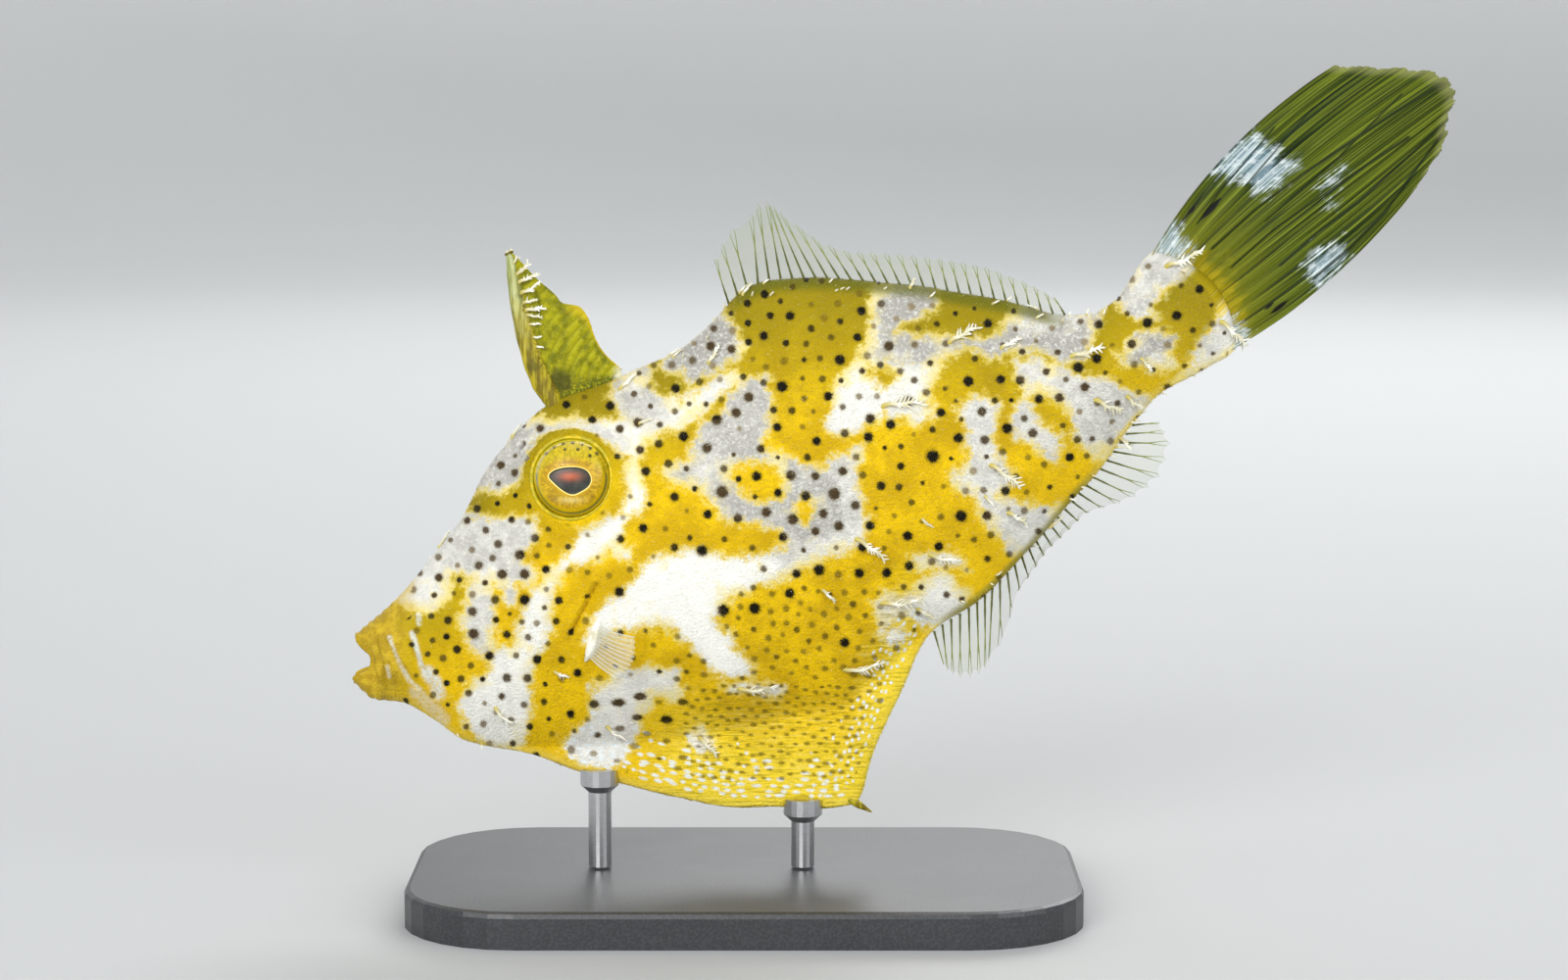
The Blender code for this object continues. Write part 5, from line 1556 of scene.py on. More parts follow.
def branched_flap(gather, root, out, along, length, chance, patch):
    """A skin flap: a stem that lies back along the skin, with crooked twigs on both hands."""
    across = np.cross(out, along)
    share = np.linspace(0, 1, 11)
    bend = chance.choice((-1, 1)) * chance.uniform(0.08, 0.26) * share**2 + 0.03 * np.sin(share * 11)
    lift = 0.12 + 0.3 * np.sin(share * 1.9) * chance.uniform(0.6, 1.2)
    flat = along * share[:, None] + across * bend[:, None]
    stem = root + flat * length + out * (lift * length * 0.35)[:, None]
    stem[0] = root - out * 0.3
    stoutness = min(1.0, 0.4 + length / 7)
    radii = np.interp(share, *STEM_RADII) * stoutness
    gather.add(*tube(stem, radii, 6), along=np.repeat(share, 6), place=patch[None])
    twigs = int(3 + length * 2.0)
    steps = np.linspace(0, 1, 4)[:, None]
    for k in range(twigs):
        at = 0.25 + 0.7 * (k + chance.uniform(0, 0.6)) / twigs
        start = np.array([np.interp(at, share, stem[:, i]) for i in range(3)])
        hand = (-1) ** k
        reach = along * chance.uniform(0.5, 1.0)
        reach = reach + across * hand * chance.uniform(0.4, 0.9)
        reach = reach + out * chance.uniform(-0.05, 0.45)
        size = length * chance.uniform(0.14, 0.3) * (1.15 - 0.5 * at)
        curl = across * hand * chance.uniform(-0.25, 0.25)
        twig = start + (unit(reach) * steps + curl * steps**2) * size
        gather.add(*tube(twig, np.array(TWIG_RADII) * stoutness, 4), along=0.5 + 0.5 * at, place=patch[None])


def add_root_map(obj, gather):
    """Maps each tuft to a small patch at its root's place."""
    places = np.concatenate(gather.values["place"])
    corner = np.arange(len(places)) % 4
    add_map(obj, places + MAP_PATCH[corner])


def skin_frame(skin, row, column):
    """Root, outward normal and map place of a grid point of the skin."""
    row = min(max(row, 1), skin["s"].shape[0] - 2)
    at = row, column
    return skin["points"][at], skin["normals"][at], unwrap(skin["s"][at], skin["t"][at], skin["side"][at])


def grow_fringe(gather, skin, chance):
    """Short skin flaps along the back and the belly line, and more of them by the long fins."""
    rows, columns = skin["s"].shape
    for edge, dense_from in ((0, DORSAL_FRINGE), (SKIN_COLUMNS, ANAL_FRINGE)):
        for row in range(0, rows, 3):
            s = skin["s"][row, 0]
            if chance.uniform() > (0.3 if s > dense_from else 0.1) or not 2.6 < s < 21.4:
                continue
            if edge and 7.7 < s < 14.9:
                continue
            column = (edge + chance.integers(-14, 15)) % columns
            root, out, place = skin_frame(skin, row, column)
            along = unit(np.array((1.0, 0.0, 0.2)) - out * out[0] + chance.normal(0, 0.3, 3))
            length = chance.uniform(0.5, 1.3)
            branched_flap(gather, root, out, unit(along + out * 0.9), length, chance, place)


def make_flaps(skin, material):
    """The large skin flaps of both flanks, and the fringe of short ones."""
    chance = np.random.default_rng(8)
    gather = Gather()
    for side in (LEFT, RIGHT):
        for x, y, lean, length in FLAPS:
            shift = chance.uniform(-7, 7, 2) if side == RIGHT else (0.0, 0.0)
            row, column = nearest_skin(skin, x + shift[0], y + shift[1], side)
            root, out, place = skin_frame(skin, row, column)
            turned = math.radians(lean)
            along = np.array((math.cos(turned), 0.0, math.sin(turned)))
            along = unit(along - out * (along @ out))
            branched_flap(gather, root, out, along, length, chance, place)
    grow_fringe(gather, skin, chance)
    obj = gather.mesh("skin_flaps", material)
    add_root_map(obj, gather)
    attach(obj, "root")


def even_sections(first, last, edge):
    """A function from a share of the length of the back or the belly line to its section."""
    stops = np.linspace(first, last, 400)
    run = np.concatenate([[0.0], np.cumsum(lengths(np.diff(back_and_belly(stops)[edge], axis=0))[:, 0])])
    return lambda share: np.interp(share, run / run[-1], stops)


def edge_fin_surface(edge, sections, rays, heights, leans, turns):
    """The mid surface of a long fin, as a function of the share along it and the share out to its tips."""
    height_at, lean_at, turn_at = table_curve(heights), table_curve(leans), table_curve(turns)
    section_of = even_sections(*sections, edge)

    def point(u, v):
        s = section_of(u)
        here = back_and_belly(s)[edge]
        run = unit(back_and_belly(s + 0.05)[edge] - back_and_belly(s - 0.05)[edge])
        outward = vectors(-run[..., 2], 0.0, run[..., 0]) * (1 if edge == 0 else -1)
        lean = np.radians(lean_at(u))[..., None]
        turn = np.radians(turn_at(u) * (0.4 + 0.6 * v))[..., None]
        ray = outward * np.cos(lean) + run * np.sin(lean)
        ray = ray * np.cos(turn) + np.array((0.0, 1.0, 0.0)) * np.sin(turn)
        between = np.abs(np.sin(math.pi * (u * (rays - 1))))
        reach = height_at(u) * v * (1 - 0.1 * v * between**0.7) + FIN_SINK
        sag = vectors(0.0, 0.1 * v * between**2, 0.0)
        return here - outward * FIN_SINK + ray * reach[..., None] + sag

    return point


def thin_sheet(name, point, columns, rows, half_thickness, material, marks):
    """A closed thin sheet about a mid surface, with its painted values."""
    u, v = np.meshgrid(np.linspace(0, 1, columns + 1), np.linspace(0, 1, rows + 1), indexing="ij")
    middle = point(u, v)
    normal = unit(np.cross(np.gradient(middle, axis=0), np.gradient(middle, axis=1)))
    half = half_thickness(u, v)[..., None] if callable(half_thickness) else half_thickness
    both = np.concatenate([(middle + normal * half).reshape(-1, 3), (middle - normal * half).reshape(-1, 3)])
    count = u.size
    front = sheet_faces(columns + 1, rows + 1)
    back = sheet_faces(columns + 1, rows + 1, count)[:, ::-1]
    order = np.arange(count).reshape(u.shape)
    rim = np.concatenate([order[0], order[1:, -1], order[-1, -2::-1], order[-2:0:-1, 0]])
    after = np.roll(rim, -1)
    edge = np.stack([rim, rim + count, after + count, after], axis=-1)
    obj = add_mesh(name, to_world(both), np.concatenate([front, back, edge]), material)
    painted = {}
    for key, data in marks(u, v, middle).items():
        flat = data.reshape(-1, *data.shape[2:])
        painted[key] = np.concatenate([flat, flat])
    paint(obj, painted)
    return obj


def fin_marks(width):
    """What the material of a clear fin reads, where the fin is so many streaks wide."""

    def marks(u, v, _):
        return {"along": v, "across": np.stack([u * width, v * 9.0, np.zeros(u.shape)], axis=-1)}

    return marks


def fin_rays(name, point, rays, steps, radii, spread, material):
    """The rays of a clear fin, each as two limbs that part towards its tip."""
    gather = Gather()
    for k in range(rays):
        across = [(k * RAY_STREAKS, 0.0, 3.0)]
        for hand in (-1, 1):
            path = point(np.clip(k / (rays - 1) + hand * spread, 0, 1), steps * 0.998)
            gather.add(*tube(path, radii, 6), along=np.repeat(steps, 6), across=across)
    return gather.mesh(name, material)


def make_edge_fin(name, fin, membrane, ray_material):
    """A long fin: a clear membrane with a jointed, branching ray at each step."""
    point = edge_fin_surface(*fin)
    rays = fin[2]
    marks = fin_marks(rays * RAY_STREAKS)
    sheet = thin_sheet(f"{name}_membrane", point, (rays - 1) * 6, 16, FIN_HALF_THICKNESS, membrane, marks)
    steps = np.linspace(0, 1, 15)
    radii = np.interp(steps, (0, 0.5, 1), (0.17, 0.085, 0.03)) * (1 + 0.12 * np.cos(steps * 60))
    spread = 0.16 / (rays - 1) * ease(0.45, 1.0, steps)
    ray_object = fin_rays(f"{name}_rays", point, rays, steps, radii, spread, ray_material)
    for obj in (sheet, ray_object):
        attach(obj, "root")
    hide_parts(name)


def tail_branches(u, v):
    """How near a point of the tail fin is to a ray or a branch, from 0 midway between to 1 on it."""
    at = u * (TAIL_RAYS - 1)
    single = np.abs(np.cos(math.pi * at))
    double = np.abs(np.cos(math.pi * (2 * at + 0.5)))
    quad = np.abs(np.cos(math.pi * (4 * at + 0.5)))
    first, second = ease(0.25, 0.5, v), ease(0.55, 0.8, v)
    return (single * (1 - first) + double * first) * (1 - second) + quad * second


def tail_surface(columns):
    """The tail fin's mid surface with its ragged end, as a function of the shares across and out."""
    tips = path_through(TAIL_TIPS)
    tailward = tail_direction()
    chance = np.random.default_rng(14)
    shares = np.linspace(0, 1, columns + 1)
    frays = np.interp(shares, np.linspace(0, 1, TAIL_FRAYS), chance.uniform(-0.007, 0.007, TAIL_FRAYS))

    def point(u, v):
        at = math.pi * (u * (TAIL_RAYS - 1))
        root = mid_point(BODY_END, 0.03 + 0.94 * u) + tailward * 0.2
        notch = 0.012 * (1 - np.abs(np.cos(at))) + 0.004 * (1 - tail_branches(u, v))
        chord = (tips(u) - root) * (1 + (np.interp(u, shares, frays) - notch) * v)[..., None]
        side_way = unit(vectors(-chord[..., 2], 0.0, chord[..., 0]))
        bulge = TAIL_EDGE_BULGE[0] + (TAIL_EDGE_BULGE[1] - TAIL_EDGE_BULGE[0]) * u
        made = root + chord * v[..., None] + side_way * (bulge * 4 * v * (1 - v))[..., None]
        made[..., 1] += np.sin(at * 2) * 0.12 * ease(0.1, 0.5, v)
        return made

    return point


def tail_marks(u, v, middle):
    """What the tail fin's material reads: its ridges, pale patches, dark folds and black streaks."""
    seen = picture_place(to_world(middle)).reshape(-1, 2)
    white = np.max([inside_outline(seen, outline, PATCH_REACH) for outline in TAIL_PATCHES], axis=0)
    black = np.full(len(seen), -PATCH_REACH)
    for start, end, width in TAIL_STREAKS:
        away, share = to_segment(seen, start, end)
        black = np.maximum(black, width * np.sin(math.pi * np.clip(share, 0.06, 0.94)) ** 0.6 - away)
    fold = np.zeros(len(seen))
    for width, *stops in TAIL_FOLDS:
        for start, end in zip(stops, stops[1:]):
            away, _ = to_segment(seen, start, end)
            fold = np.maximum(fold, 1 - away / width)
    return {
        "ridge": tail_branches(u, v),
        "white": white.reshape(u.shape),
        "black": black.reshape(u.shape),
        "along": v,
        "fold": fold.reshape(u.shape),
        "across": np.stack([u * 26.0, v * 40.0, np.zeros(u.shape)], axis=-1),
    }


def tail_half_thickness(u, v):
    """Half thickness of the tail fin, greater along its rays."""
    ray = tail_branches(u, v) ** 3
    return (0.09 + 0.33 * ray * (1 - 0.75 * v)) * (1 - 0.5 * ease(0.9, 1.0, v))


def make_tail_fin(material):
    """Tail fin: pleated between rays that branch twice, with a ragged end."""
    columns = (TAIL_RAYS - 1) * TAIL_RAY_COLUMNS
    surface = tail_surface(columns)
    fin = thin_sheet("tail_fin_skin", surface, columns, TAIL_ROWS, tail_half_thickness, material, tail_marks)
    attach(fin, "root")
    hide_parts("tail_fin")


def pectoral_surface(starts, out, side):
    """A pectoral fin's mid surface from the stops of its root, as a function of both shares."""
    lean = math.radians(PECTORAL_LEAN)
    first, last = PECTORAL_SPREAD
    shares = np.linspace(0, 1, len(starts))

    def point(u, v):
        root = np.stack([np.interp(u, shares, starts[:, i]) for i in range(3)], axis=-1)
        turned = np.radians(first + (last - first) * u)
        length = PECTORAL_LENGTH * (0.72 + 0.28 * np.sin(math.pi * (0.15 + 0.8 * u)))
        level = math.cos(lean)
        ray = vectors(np.cos(turned) * level, side * math.sin(lean), np.sin(turned) * level)
        scallop = 1 - 0.05 * v * np.abs(np.sin(math.pi * u * (PECTORAL_RAYS - 1)))
        bulge = 0.1 + 0.5 * np.sin(math.pi * v)
        return root + ray * (length * v * scallop)[..., None] + out * bulge[..., None]

    return point


def pectoral_lobe(name, starts, material):
    """The fleshy white root of a pectoral fin."""
    shares = np.linspace(-0.15, 1.25, 12)
    stops = starts[:1] + (starts[-1:] - starts[:1]) * shares[:, None]
    stops[:, 0] += 0.35 * np.sin(np.linspace(0, math.pi, 12))
    lobe = Gather()
    lobe.add(*tube(stops, 0.95 * np.sin(np.linspace(0.25, math.pi - 0.06, 12)) ** 0.7, 12), along=1.0)
    return lobe.mesh(name, material)


def make_pectoral_fins(lobe_material):
    """Both pectoral fins: a clear membrane, its rays and the lobe of its root."""
    membrane = fin_material("pectoral_membrane", "pectoral root", "pectoral tip", 0.14)
    ray_material = fin_material("pectoral_rays", "pectoral ray root", "pectoral ray tip", 0.4)
    s, t = section_at(*np.mean(PECTORAL_ROOT, axis=0))
    steps = np.linspace(0, 1, 13)
    radii = np.interp(steps, (0, 0.5, 1), (0.15, 0.08, 0.03))
    spread = 0.015 * ease(0.4, 1.0, steps)
    for name, side in SIDES.items():
        starts = np.array([flank(*section_at(x, z), side) for x, z in np.linspace(*PECTORAL_ROOT, 5)])
        point = pectoral_surface(starts, flank_normal(s, t, side), side)
        marks = fin_marks(10 * RAY_STREAKS)
        sheet = thin_sheet(f"pectoral_membrane_{name}", point, 60, 16, FIN_HALF_THICKNESS, membrane, marks)
        rays = fin_rays(f"pectoral_rays_{name}", point, PECTORAL_RAYS, steps, radii, spread, ray_material)
        base = pectoral_lobe(f"pectoral_base_{name}", starts, lobe_material)
        for obj in (sheet, rays, base):
            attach(obj, "root")
        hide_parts(f"pectoral_fin_{name}")


def spine_half_thickness(at):
    """Half thickness of the spine at a share of its height."""
    return np.interp(at, (0, 1), SPINE_HALF_THICKNESS)


def make_spine_bone(front, rear, material):
    """The spine over the eye, oval across and rounded at its tip."""
    v = np.linspace(0, 1, 60)
    turns = np.linspace(0, math.tau, 28, endpoint=False)
    middle = front(v) * 0.5 + rear(v) * 0.5
    across = unit(np.cross(unit(np.gradient(middle, axis=0)), np.array((0.0, 1.0, 0.0))))
    closing = np.sqrt(np.clip(1 - ((v - 0.94) / 0.06).clip(0, 1) ** 2, 0.002, 1))
    wide = lengths(rear(v) - front(v))[:, 0] / 2 * closing
    thick = spine_half_thickness(v) * closing
    rough = 1 + 0.03 * np.sin(v * 40)[:, None] * np.cos(3 * turns)
    ring = across[:, None] * (np.cos(turns) * wide[:, None] * rough)[..., None]
    ring = ring + np.array((0.0, 1.0, 0.0)) * (np.sin(turns) * thick[:, None] * rough)[..., None]
    points = (middle[:, None] + ring).reshape(-1, 3)
    points[: len(turns), 2] -= 0.8
    spine = add_mesh("dorsal_spine_bone", to_world(points), ring_faces(len(v), len(turns)), material)
    paint(spine, {"along": np.repeat(v, len(turns))})
    return spine


def make_spine_barbs(front, rear, chance, material):
    """Short barbs on both sides of the spine."""
    barbs = Gather()
    for k in range(SPINE_BARBS):
        at = chance.uniform(0.1, 0.72)
        hand = LEFT if k % 2 else RIGHT
        share = chance.uniform(0.78, 1.0)
        root = front(at) * (1 - share) + rear(at) * share
        root[1] = hand * spine_half_thickness(at) * chance.uniform(0.3, 0.7)
        reach = unit(np.array((0.5, hand * 0.7, -0.3)) + chance.normal(0, 0.3, 3))
        stops = root + reach * np.array((-0.15, 0.2, 0.42))[:, None]
        barbs.add(*tube(stops, (0.17, 0.14, 0.04), 5), along=0.2)
    return barbs.mesh("dorsal_spine_barbs", material)


def make_spine_tufts(front, rear, chance, material):
    """Feathery flaps of the spine's rear edge, and a crown of short ones on its tip."""
    tufts = Gather()
    v = np.linspace(0, 1, 60)
    rear_heights = rear(v)[:, 2]
    for hand in (LEFT, RIGHT):
        out = np.array((0.0, float(hand), 0.0))
        for z, lean, length in SPINE_TUFTS:
            at = float(np.interp(z + chance.uniform(-0.3, 0.3), rear_heights, v))
            root = rear(at) * 0.9 + front(at) * 0.1
            root[1] = hand * spine_half_thickness(at) * 0.7
            turned = math.radians(lean + chance.uniform(-6, 6))
            along = unit(np.array((math.cos(turned), 0.22 * hand, math.sin(turned))))
            place = np.array((0.1 + 0.8 * at, 0.5 + 0.2 * hand))
            branched_flap(tufts, root, out, along, length, chance, place)
    for share in np.linspace(0, 1, 12):
        root = front(0.985) * (1 - share) + rear(0.985) * share
        along = unit(np.array((chance.uniform(-0.4, 0.8), chance.uniform(-0.5, 0.5), 1.0)))
        length = chance.uniform(0.3, 0.5)
        place = np.array((0.92, 0.3 + 0.4 * share))
        branched_flap(tufts, root, np.array((0.0, 1.0, 0.0)), along, length, chance, place)
    obj = tufts.mesh("dorsal_spine_tufts", material)
    add_root_map(obj, tufts)
    return obj


def veil_wrinkles(points):
    """Phase of the arcs that ring the lower rear corner of the veil."""
    return lengths(points - VEIL_ARCS_MIDDLE)[..., 0] * math.tau / VEIL_ARC_PITCH


def veil_surface(rear):
    """The mid surface of the skin behind the spine, as a function of the shares back and up."""
    edge = path_through(VEIL_EDGE)
    first, last = VEIL_ROOT_SECTIONS
    first_root = back_and_belly(np.array(first))[0] + np.array((-0.25, 0, 0.65))

    def point(u, w):
        up, down = w[..., None], 1 - w[..., None]
        root = back_and_belly(first + (last - first) * u**1.6)[0] + np.array((-0.25, 0, -0.5))
        front_edge = rear(w) + vectors(-0.35, 0.0, -0.6 * (1 - w))
        straight = first_root * down + edge(np.zeros_like(w)) * up
        made = root * down + edge(u) * up + (front_edge - straight) * ((1 - u) ** 2)[..., None]
        made[..., 1] += 0.07 * np.sin(veil_wrinkles(made)) * ease(0.0, 0.2, u) * fall(0.9, 1.0, w)
        return made

    return point


def veil_marks(_u, w, points):
    """What the veil's material reads: its arcs, pale rear corner, dark blotch and yellow rear edge."""
    corner, blotch = (bell(lengths(points - place)[..., 0], 2.0) for place in (VEIL_CORNER, VEIL_BLOTCH))
    rear_edge = ease(0.82, 1.0, w) * ease(28.0, 31.0, points[..., 0])
    arcs = 0.5 + 0.5 * np.sin(veil_wrinkles(points))
    marks = {"along": w, "arcs": arcs, "flat": points}
    return {**marks, "corner": corner, "blotch": blotch, "rear_edge": rear_edge}


def make_dorsal_spine(spine_mat, veil_mat, flap_mat):
    """The erect spine over the eye with its barbs and tufts, and the wrinkled skin behind it."""
    front, rear = path_through(SPINE_FRONT), path_through(SPINE_REAR)
    chance = np.random.default_rng(3)
    bone = make_spine_bone(front, rear, spine_mat)
    barbs = make_spine_barbs(front, rear, chance, spine_mat)
    tufts = make_spine_tufts(front, rear, chance, flap_mat)
    surface = veil_surface(rear)
    veil = thin_sheet("spine_veil_skin", surface, 90, 60, VEIL_HALF_THICKNESS, veil_mat, veil_marks)
    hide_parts("dorsal_spine")
    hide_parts("spine_veil")
    slots = [(obj, "pale_spine") for obj in (bone, barbs, tufts)]
    for obj, slot in slots + [(veil, "olive_fin")]:
        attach(obj, "root")


def skin_height_round(skin, side, axes):
    """How high the skin stands round an eye, as a smooth function of the turn about its axis."""
    centre, axis, ahead, up = axes
    away = skin["points"][skin["side"] == side] - centre
    height = away @ axis
    off_axis = np.linalg.norm(away - height[:, None] * axis, axis=1)
    near = (off_axis > 5.55) & (off_axis < 6.0) & (height > -1.5)
    turn = np.arctan2(away[near] @ up, away[near] @ ahead)

    def terms(at):
        return np.stack([np.ones_like(at), np.cos(at), np.sin(at), np.cos(2 * at), np.sin(2 * at)], axis=-1)

    found = np.linalg.lstsq(terms(turn), height[near], rcond=None)[0]
    return lambda at: terms(at) @ found


def eye_axes(side):
    """Centre of one eye with its outward, forward and upward axes."""
    centre, axis = eye_frame(side, EYE_SINK)
    ahead = unit(np.array((1.0, 0.0, 0.0)) - axis * axis[0])
    up = np.cross(ahead, axis)
    return centre, axis, ahead, up * np.sign(up[2])


def eye_dome(name, axes, radii, spokes, rise, material):
    """A dome about an eye's axis. Returns it with the place, radius and turn of each of its points."""
    centre, axis, ahead, up = axes
    r, turn = np.meshgrid(radii, np.linspace(0, math.tau, spokes, endpoint=False), indexing="ij")
    r, turn = r.ravel(), turn.ravel()
    places = np.stack([r * np.cos(turn), r * np.sin(turn)], axis=-1)
    points = centre + places @ np.stack([ahead, up]) + np.outer(rise(r, places), axis)
    obj = add_mesh(name, to_world(points), ring_faces(len(radii), spokes), material)
    return obj, places, r, turn


def iris_rise(r, places):
    """Height of the iris: a dome with a ring and a groove near its edge, and a sunken pupil."""
    pupil = inside_outline(places, rounded(PUPIL), 1.0)
    rise = 0.93 * EYE_BULGE * np.sqrt(np.clip(1 - (r / (EYE_RADIUS + 0.15)) ** 2, 0, 1))
    rise += 0.1 * bell(r - 5.1, 0.25) - 0.1 * bell(r - IRIS_GROOVE, 0.14)
    return rise - 0.35 * ease(-0.05, 0.15, pupil) + 0.05 * bell(pupil + 0.15, 0.12)


def cornea_rise(r, _places):
    """Height of the clear cover, just over the iris."""
    return EYE_BULGE * np.sqrt(np.clip(1 - (r / (EYE_RADIUS + 0.1)) ** 2, 0, 1)) + 0.05


def iris_marks(places, r, turn, side):
    """What the eye's material reads at each point of the iris."""
    x, y = places.T
    dots = np.zeros(len(r))
    for far, angles in EYE_DOTS:
        for angle in np.radians(angles):
            away = np.hypot(x - far * math.cos(angle), y - far * math.sin(angle))
            dots = np.maximum(dots, fall(0.14, 0.3, away))
    return {
        "pupil": inside_outline(places, rounded(PUPIL), 1.0),
        "radius": r,
        "dots": dots,
        "glow": bell(x + 0.1, 1.35) * bell(y - 0.25, 0.55),
        "brow": bell(x, 1.7) * bell(y - 2.1, 0.14) * 0.7,
        "green_line": bell(r - IRIS_GROOVE, 0.13) * fall(1.6, 3.0, y),
        "lid": ease(2.5, 3.1, y + 0.1 * x**2) * 0.85,
        # Painted highlight of the lower iris
        "shine": bell(x, 1.6) * bell(y + 2.9, 0.4) * 0.9,
        "eye_place": np.stack([x, y, np.full(len(r), side * 9.0)], axis=-1),
        "polar": np.stack([np.cos(turn) * 5, np.sin(turn) * 5, r * 0.7 + side * 30], axis=-1),
    }


def make_orbit_rim(name, skin, side, axes, material):
    """The fleshy, crinkled rim that fills the gap between an eye and the skin."""
    centre, axis, ahead, up = axes
    spokes = np.linspace(0, math.tau, 160, endpoint=False)
    turns = np.linspace(0, math.tau, 30, endpoint=False)
    spoke, turn = np.meshgrid(spokes, turns, indexing="ij")
    crinkle = 0.05 * np.sin(spoke * 34) + 0.04 * np.sin(spoke * 13 + 1)
    skin_height = skin_height_round(skin, side, axes)(spoke)
    low = np.minimum(0.6, skin_height - 0.4)
    high = np.maximum(0.78, skin_height) + 0.28 + crinkle
    across, upward = np.cos(turn), np.sin(turn)
    skirt = 0.5 * np.maximum(0.0, -upward) * np.maximum(0.0, across)
    radius = EYE_RADIUS + 0.2 + (0.27 + crinkle * 0.4) * across + skirt
    height = (low + high) / 2 + (high - low) / 2 * np.sign(upward) * np.abs(upward) ** 0.7
    points = centre + ahead * (radius * np.cos(spoke))[..., None] + up * (radius * np.sin(spoke))[..., None]
    points = points + axis * height[..., None]
    closed = np.concatenate([points, points[:1]])
    faces = ring_faces(*closed.shape[:2])
    return add_mesh(f"orbit_rim_{name}", to_world(closed.reshape(-1, 3)), faces, material)


def make_eyes(skin, iris_mat, clear_mat, rim_mat):
    """Each eye: an iris dome with its pupil, a clear dome over it, and a fleshy rim."""
    iris_radii = np.concatenate([[0.004], np.linspace(0.1, EYE_RADIUS, 74)])
    clear_radii = np.concatenate([[0.004], np.linspace(0.3, EYE_RADIUS + 0.02, 26)])
    for name, side in SIDES.items():
        axes = eye_axes(side)
        iris, *where = eye_dome(f"iris_{name}", axes, iris_radii, 120, iris_rise, iris_mat)
        paint(iris, iris_marks(*where, side))
        clear = eye_dome(f"cornea_{name}", axes, clear_radii, 64, cornea_rise, clear_mat)[0]
        rim = make_orbit_rim(name, skin, side, axes, rim_mat)
        for piece in (iris, clear, rim):
            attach(piece, "root")
        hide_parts(f"eye_{name}")


def rim_material():
    """Fleshy rim of the eye, mottled with olive."""
    g = Graph("orbit_rim")
    at = g.position()
    mottle = g.noise(at, 700.0, 3.0)
    colour = g.cover("dull rim", "rim", mottle, 0.4, 0.62)
    g.set(Base_Color=g.cover(colour, "olive", g.noise(at, 1500.0), 0.55, 0.7, 0.3), Roughness=0.45)
    g.bump(mottle, 0.4, 0.0002)
    return g.material


def make_pelvic_spine(material):
    """The small spine at the corner of the belly flap, with its barbs."""
    corner = back_and_belly(np.array(FLAP_CORNER))[1]
    away = unit(np.array((0.86, 0.0, -0.5)))
    gather = Gather()
    steps = np.linspace(-1.2, 2.6, 9)
    radii = np.interp(steps, (-1.2, 0.5, 2.6), (0.5, 0.55, 0.08))
    gather.add(*tube(corner + away * steps[:, None], radii, 12))
    chance = np.random.default_rng(4)
    for _ in range(14):
        root = corner + away * chance.uniform(0.2, 2.0)
        ahead = chance.uniform(-0.6, 0.3)
        reach = unit(np.array((ahead, chance.choice((-1, 1)) * 0.8, chance.uniform(-0.6, 0.4))))
        gather.add(*tube(root + reach * np.array((0.2, 0.55, 0.85))[:, None], (0.13, 0.08, 0.02), 5))
    obj = gather.mesh("pelvic_spine_bone", material)
    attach(obj, "root")
    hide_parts("pelvic_spine")


def teeth_material():
    """Ivory of the teeth."""
    g = Graph("teeth")
    at = g.position()
    g.set(Base_Color=g.mix(g.noise(at, 1500.0), "dull tooth", "tooth"), Roughness=0.25)
    g.bump(g.noise(at, 3000.0), 0.2, 0.0001)
    return g.material


def make_teeth(material):
    """The chisel teeth that show in the open mouth, three on each side of each jaw."""
    gather = Gather()
    for root_z, tip_z, front in ((0.75, -0.15, 2.3), (-2.75, -1.65, 2.2)):
        for k in (-2.5, -1.5, -0.5, 0.5, 1.5, 2.5):
            root = np.array((front + 0.12 * k * k, k * 0.46, root_z))
            tip = root + np.array((-0.3, -0.05 * k, tip_z - root_z))
            stops = root + (tip - root) * np.linspace(0, 1, 6)[:, None]
            gather.add(*tube(stops, (0.3, 0.29, 0.26, 0.21, 0.13, 0.02), 8))
    teeth = gather.mesh("teeth", material)
    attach(teeth, "root")


def make_stand(frame):
    """Gives the stand's own solids their materials."""
    base, rod = stand_base_material(), stand_rod_material()
    for node, material in (("stand_base", base), ("stand_rod_front", rod), ("stand_rod_rear", rod)):
        mesh = frame["nodes"][node].data
        mesh.materials.clear()
        mesh.materials.append(material)


def make_floor():
    """A round pale floor that curves up into a low wall, the same from every side."""
    bow = np.linspace(0, math.pi / 2, 14)
    profile = [(0.001, 0.0), (0.6, 0.0)]
    profile += [(FLOOR_RADIUS + math.sin(a) * FLOOR_BOW, FLOOR_BOW * (1 - math.cos(a))) for a in bow]
    profile += [(FLOOR_RADIUS + FLOOR_BOW, WALL_HEIGHT)]
    turns = np.linspace(0, math.tau, 96, endpoint=False)
    points = np.array([(r * math.cos(a), r * math.sin(a), z) for r, z in profile for a in turns])
    add_mesh("floor", points, ring_faces(len(profile), len(turns)), floor_material())


def add_light(name, place, aim, size, power, colour=(1.0, 1.0, 1.0)):
    light = bpy.data.lights.new(name, "AREA")
    light.shape = "RECTANGLE"
    light.size, light.size_y = size
    light.energy = power
    light.color = colour
    obj = bpy.data.objects.new(name, light)
    obj.location = place
    direction = np.asarray(aim, float) - np.asarray(place, float)
    obj.rotation_euler = (
        math.atan2(np.hypot(direction[0], direction[1]), -direction[2]),
        0.0,
        math.atan2(-direction[0], direction[1]),
    )
    bpy.context.scene.collection.objects.link(obj)


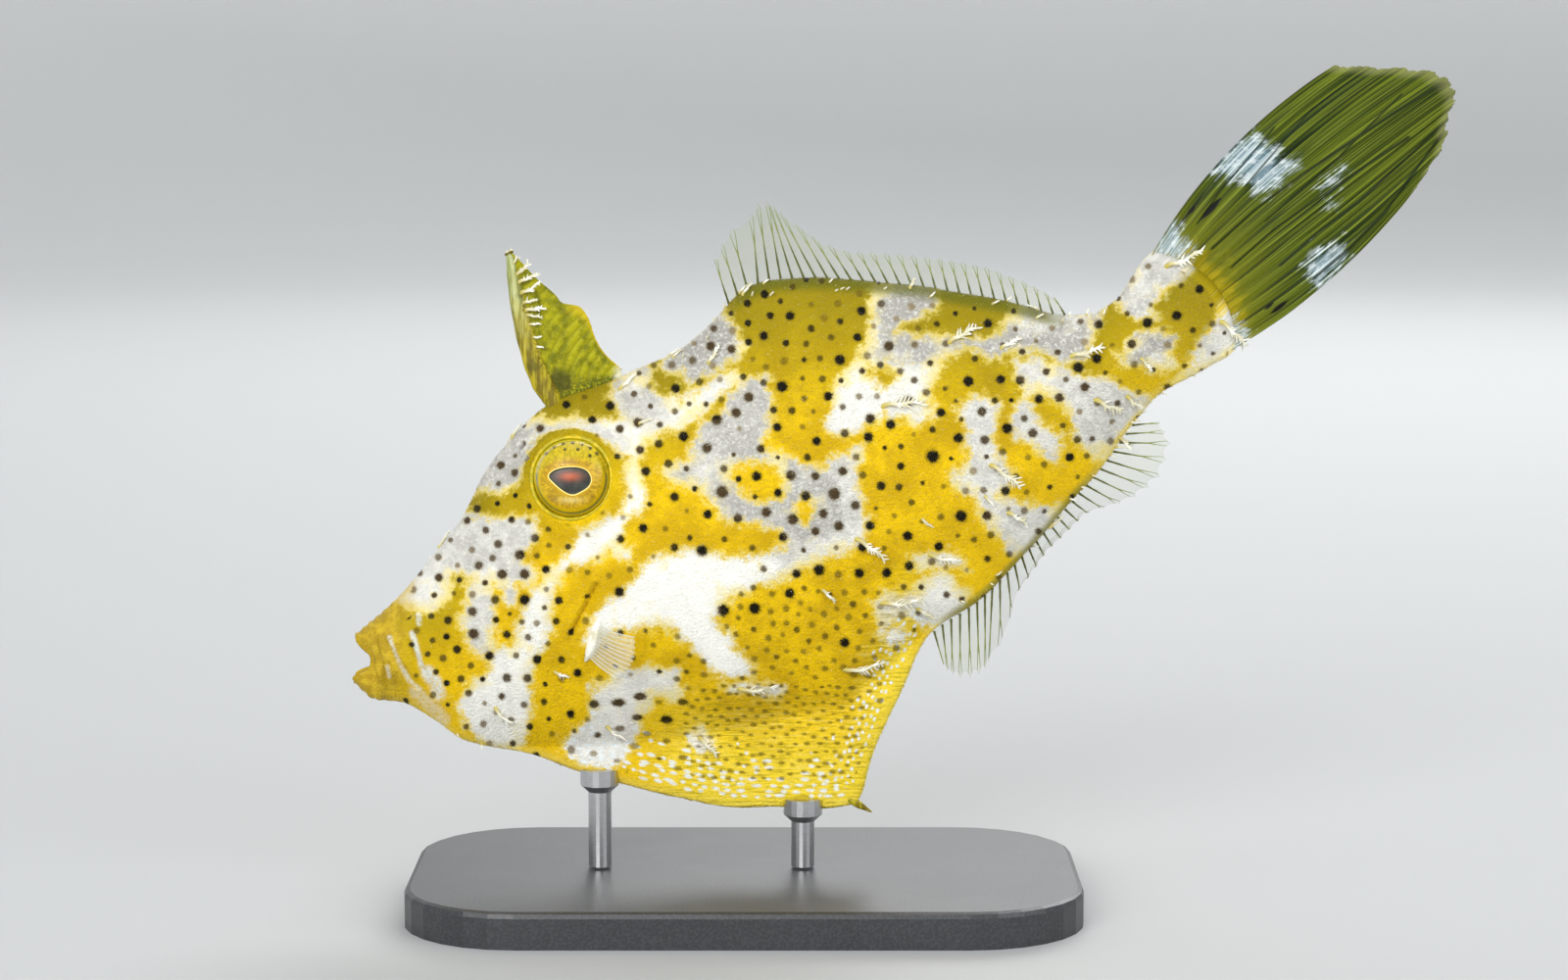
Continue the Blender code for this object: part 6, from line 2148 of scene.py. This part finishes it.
def make_lights():
    """Soft studio light: large panels around and above, and an even pale surround."""
    middle = (0.0, 0.0, 0.06)
    add_light("key", (-0.5, -1.1, 0.5), middle, (0.8, 0.6), 13.0)
    add_light("fill", (0.95, -0.8, 0.5), middle, (0.9, 0.7), 5.5, (0.96, 0.98, 1.0))
    add_light("back", (0.3, 1.0, 0.8), middle, (0.9, 0.6), 9.0)
    add_light("top", (0.0, 0.0, 1.7), middle, (1.4, 1.4), 8.0)
    add_light("backdrop", (0.0, 0.9, 1.9), (0.0, 2.2, 0.9), (2.4, 0.5), 14.0)
    world = bpy.data.worlds.new("studio")
    world.use_nodes = True
    shade = world.node_tree.nodes["Background"]
    shade.inputs["Color"].default_value = (0.94, 0.96, 1.0, 1.0)
    shade.inputs["Strength"].default_value = 0.35
    bpy.context.scene.world = world
    bpy.context.scene.view_settings.view_transform = "Standard"


def make_camera():
    """The camera at the photograph's place, with its framing."""
    camera = bpy.data.cameras.new("camera")
    camera.lens = LENS
    camera.sensor_width = SENSOR
    camera.clip_start = 0.01
    obj = bpy.data.objects.new("camera", camera)
    obj.location = camera_place()
    obj.rotation_euler = (math.pi / 2 - CAMERA_TILT, 0.0, 0.0)
    bpy.context.scene.collection.objects.link(obj)
    bpy.context.scene.camera = obj


def main():
    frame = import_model()
    make_camera()
    make_lights()
    make_floor()
    skin = build_skin()
    skin_mat = skin_material()
    make_skin(skin, skin_mat)
    make_coat(skin, skin_mat)
    flap_mat = flap_material()
    make_flaps(skin, flap_mat)
    membrane = fin_material("fin_membrane", "membrane root", "membrane tip", 0.09)
    rays = fin_material("fin_rays", "ray root", "ray tip", 1.0)
    for name, fin in LONG_FINS.items():
        make_edge_fin(name, fin, membrane, rays)
    make_tail_fin(tail_material())
    make_pectoral_fins(flap_mat)
    make_dorsal_spine(spine_material(), veil_material(), flap_mat)
    make_eyes(skin, eye_material(), cornea_material(), rim_material())
    make_pelvic_spine(spine_material())
    make_teeth(teeth_material())
    make_stand(frame)


main()
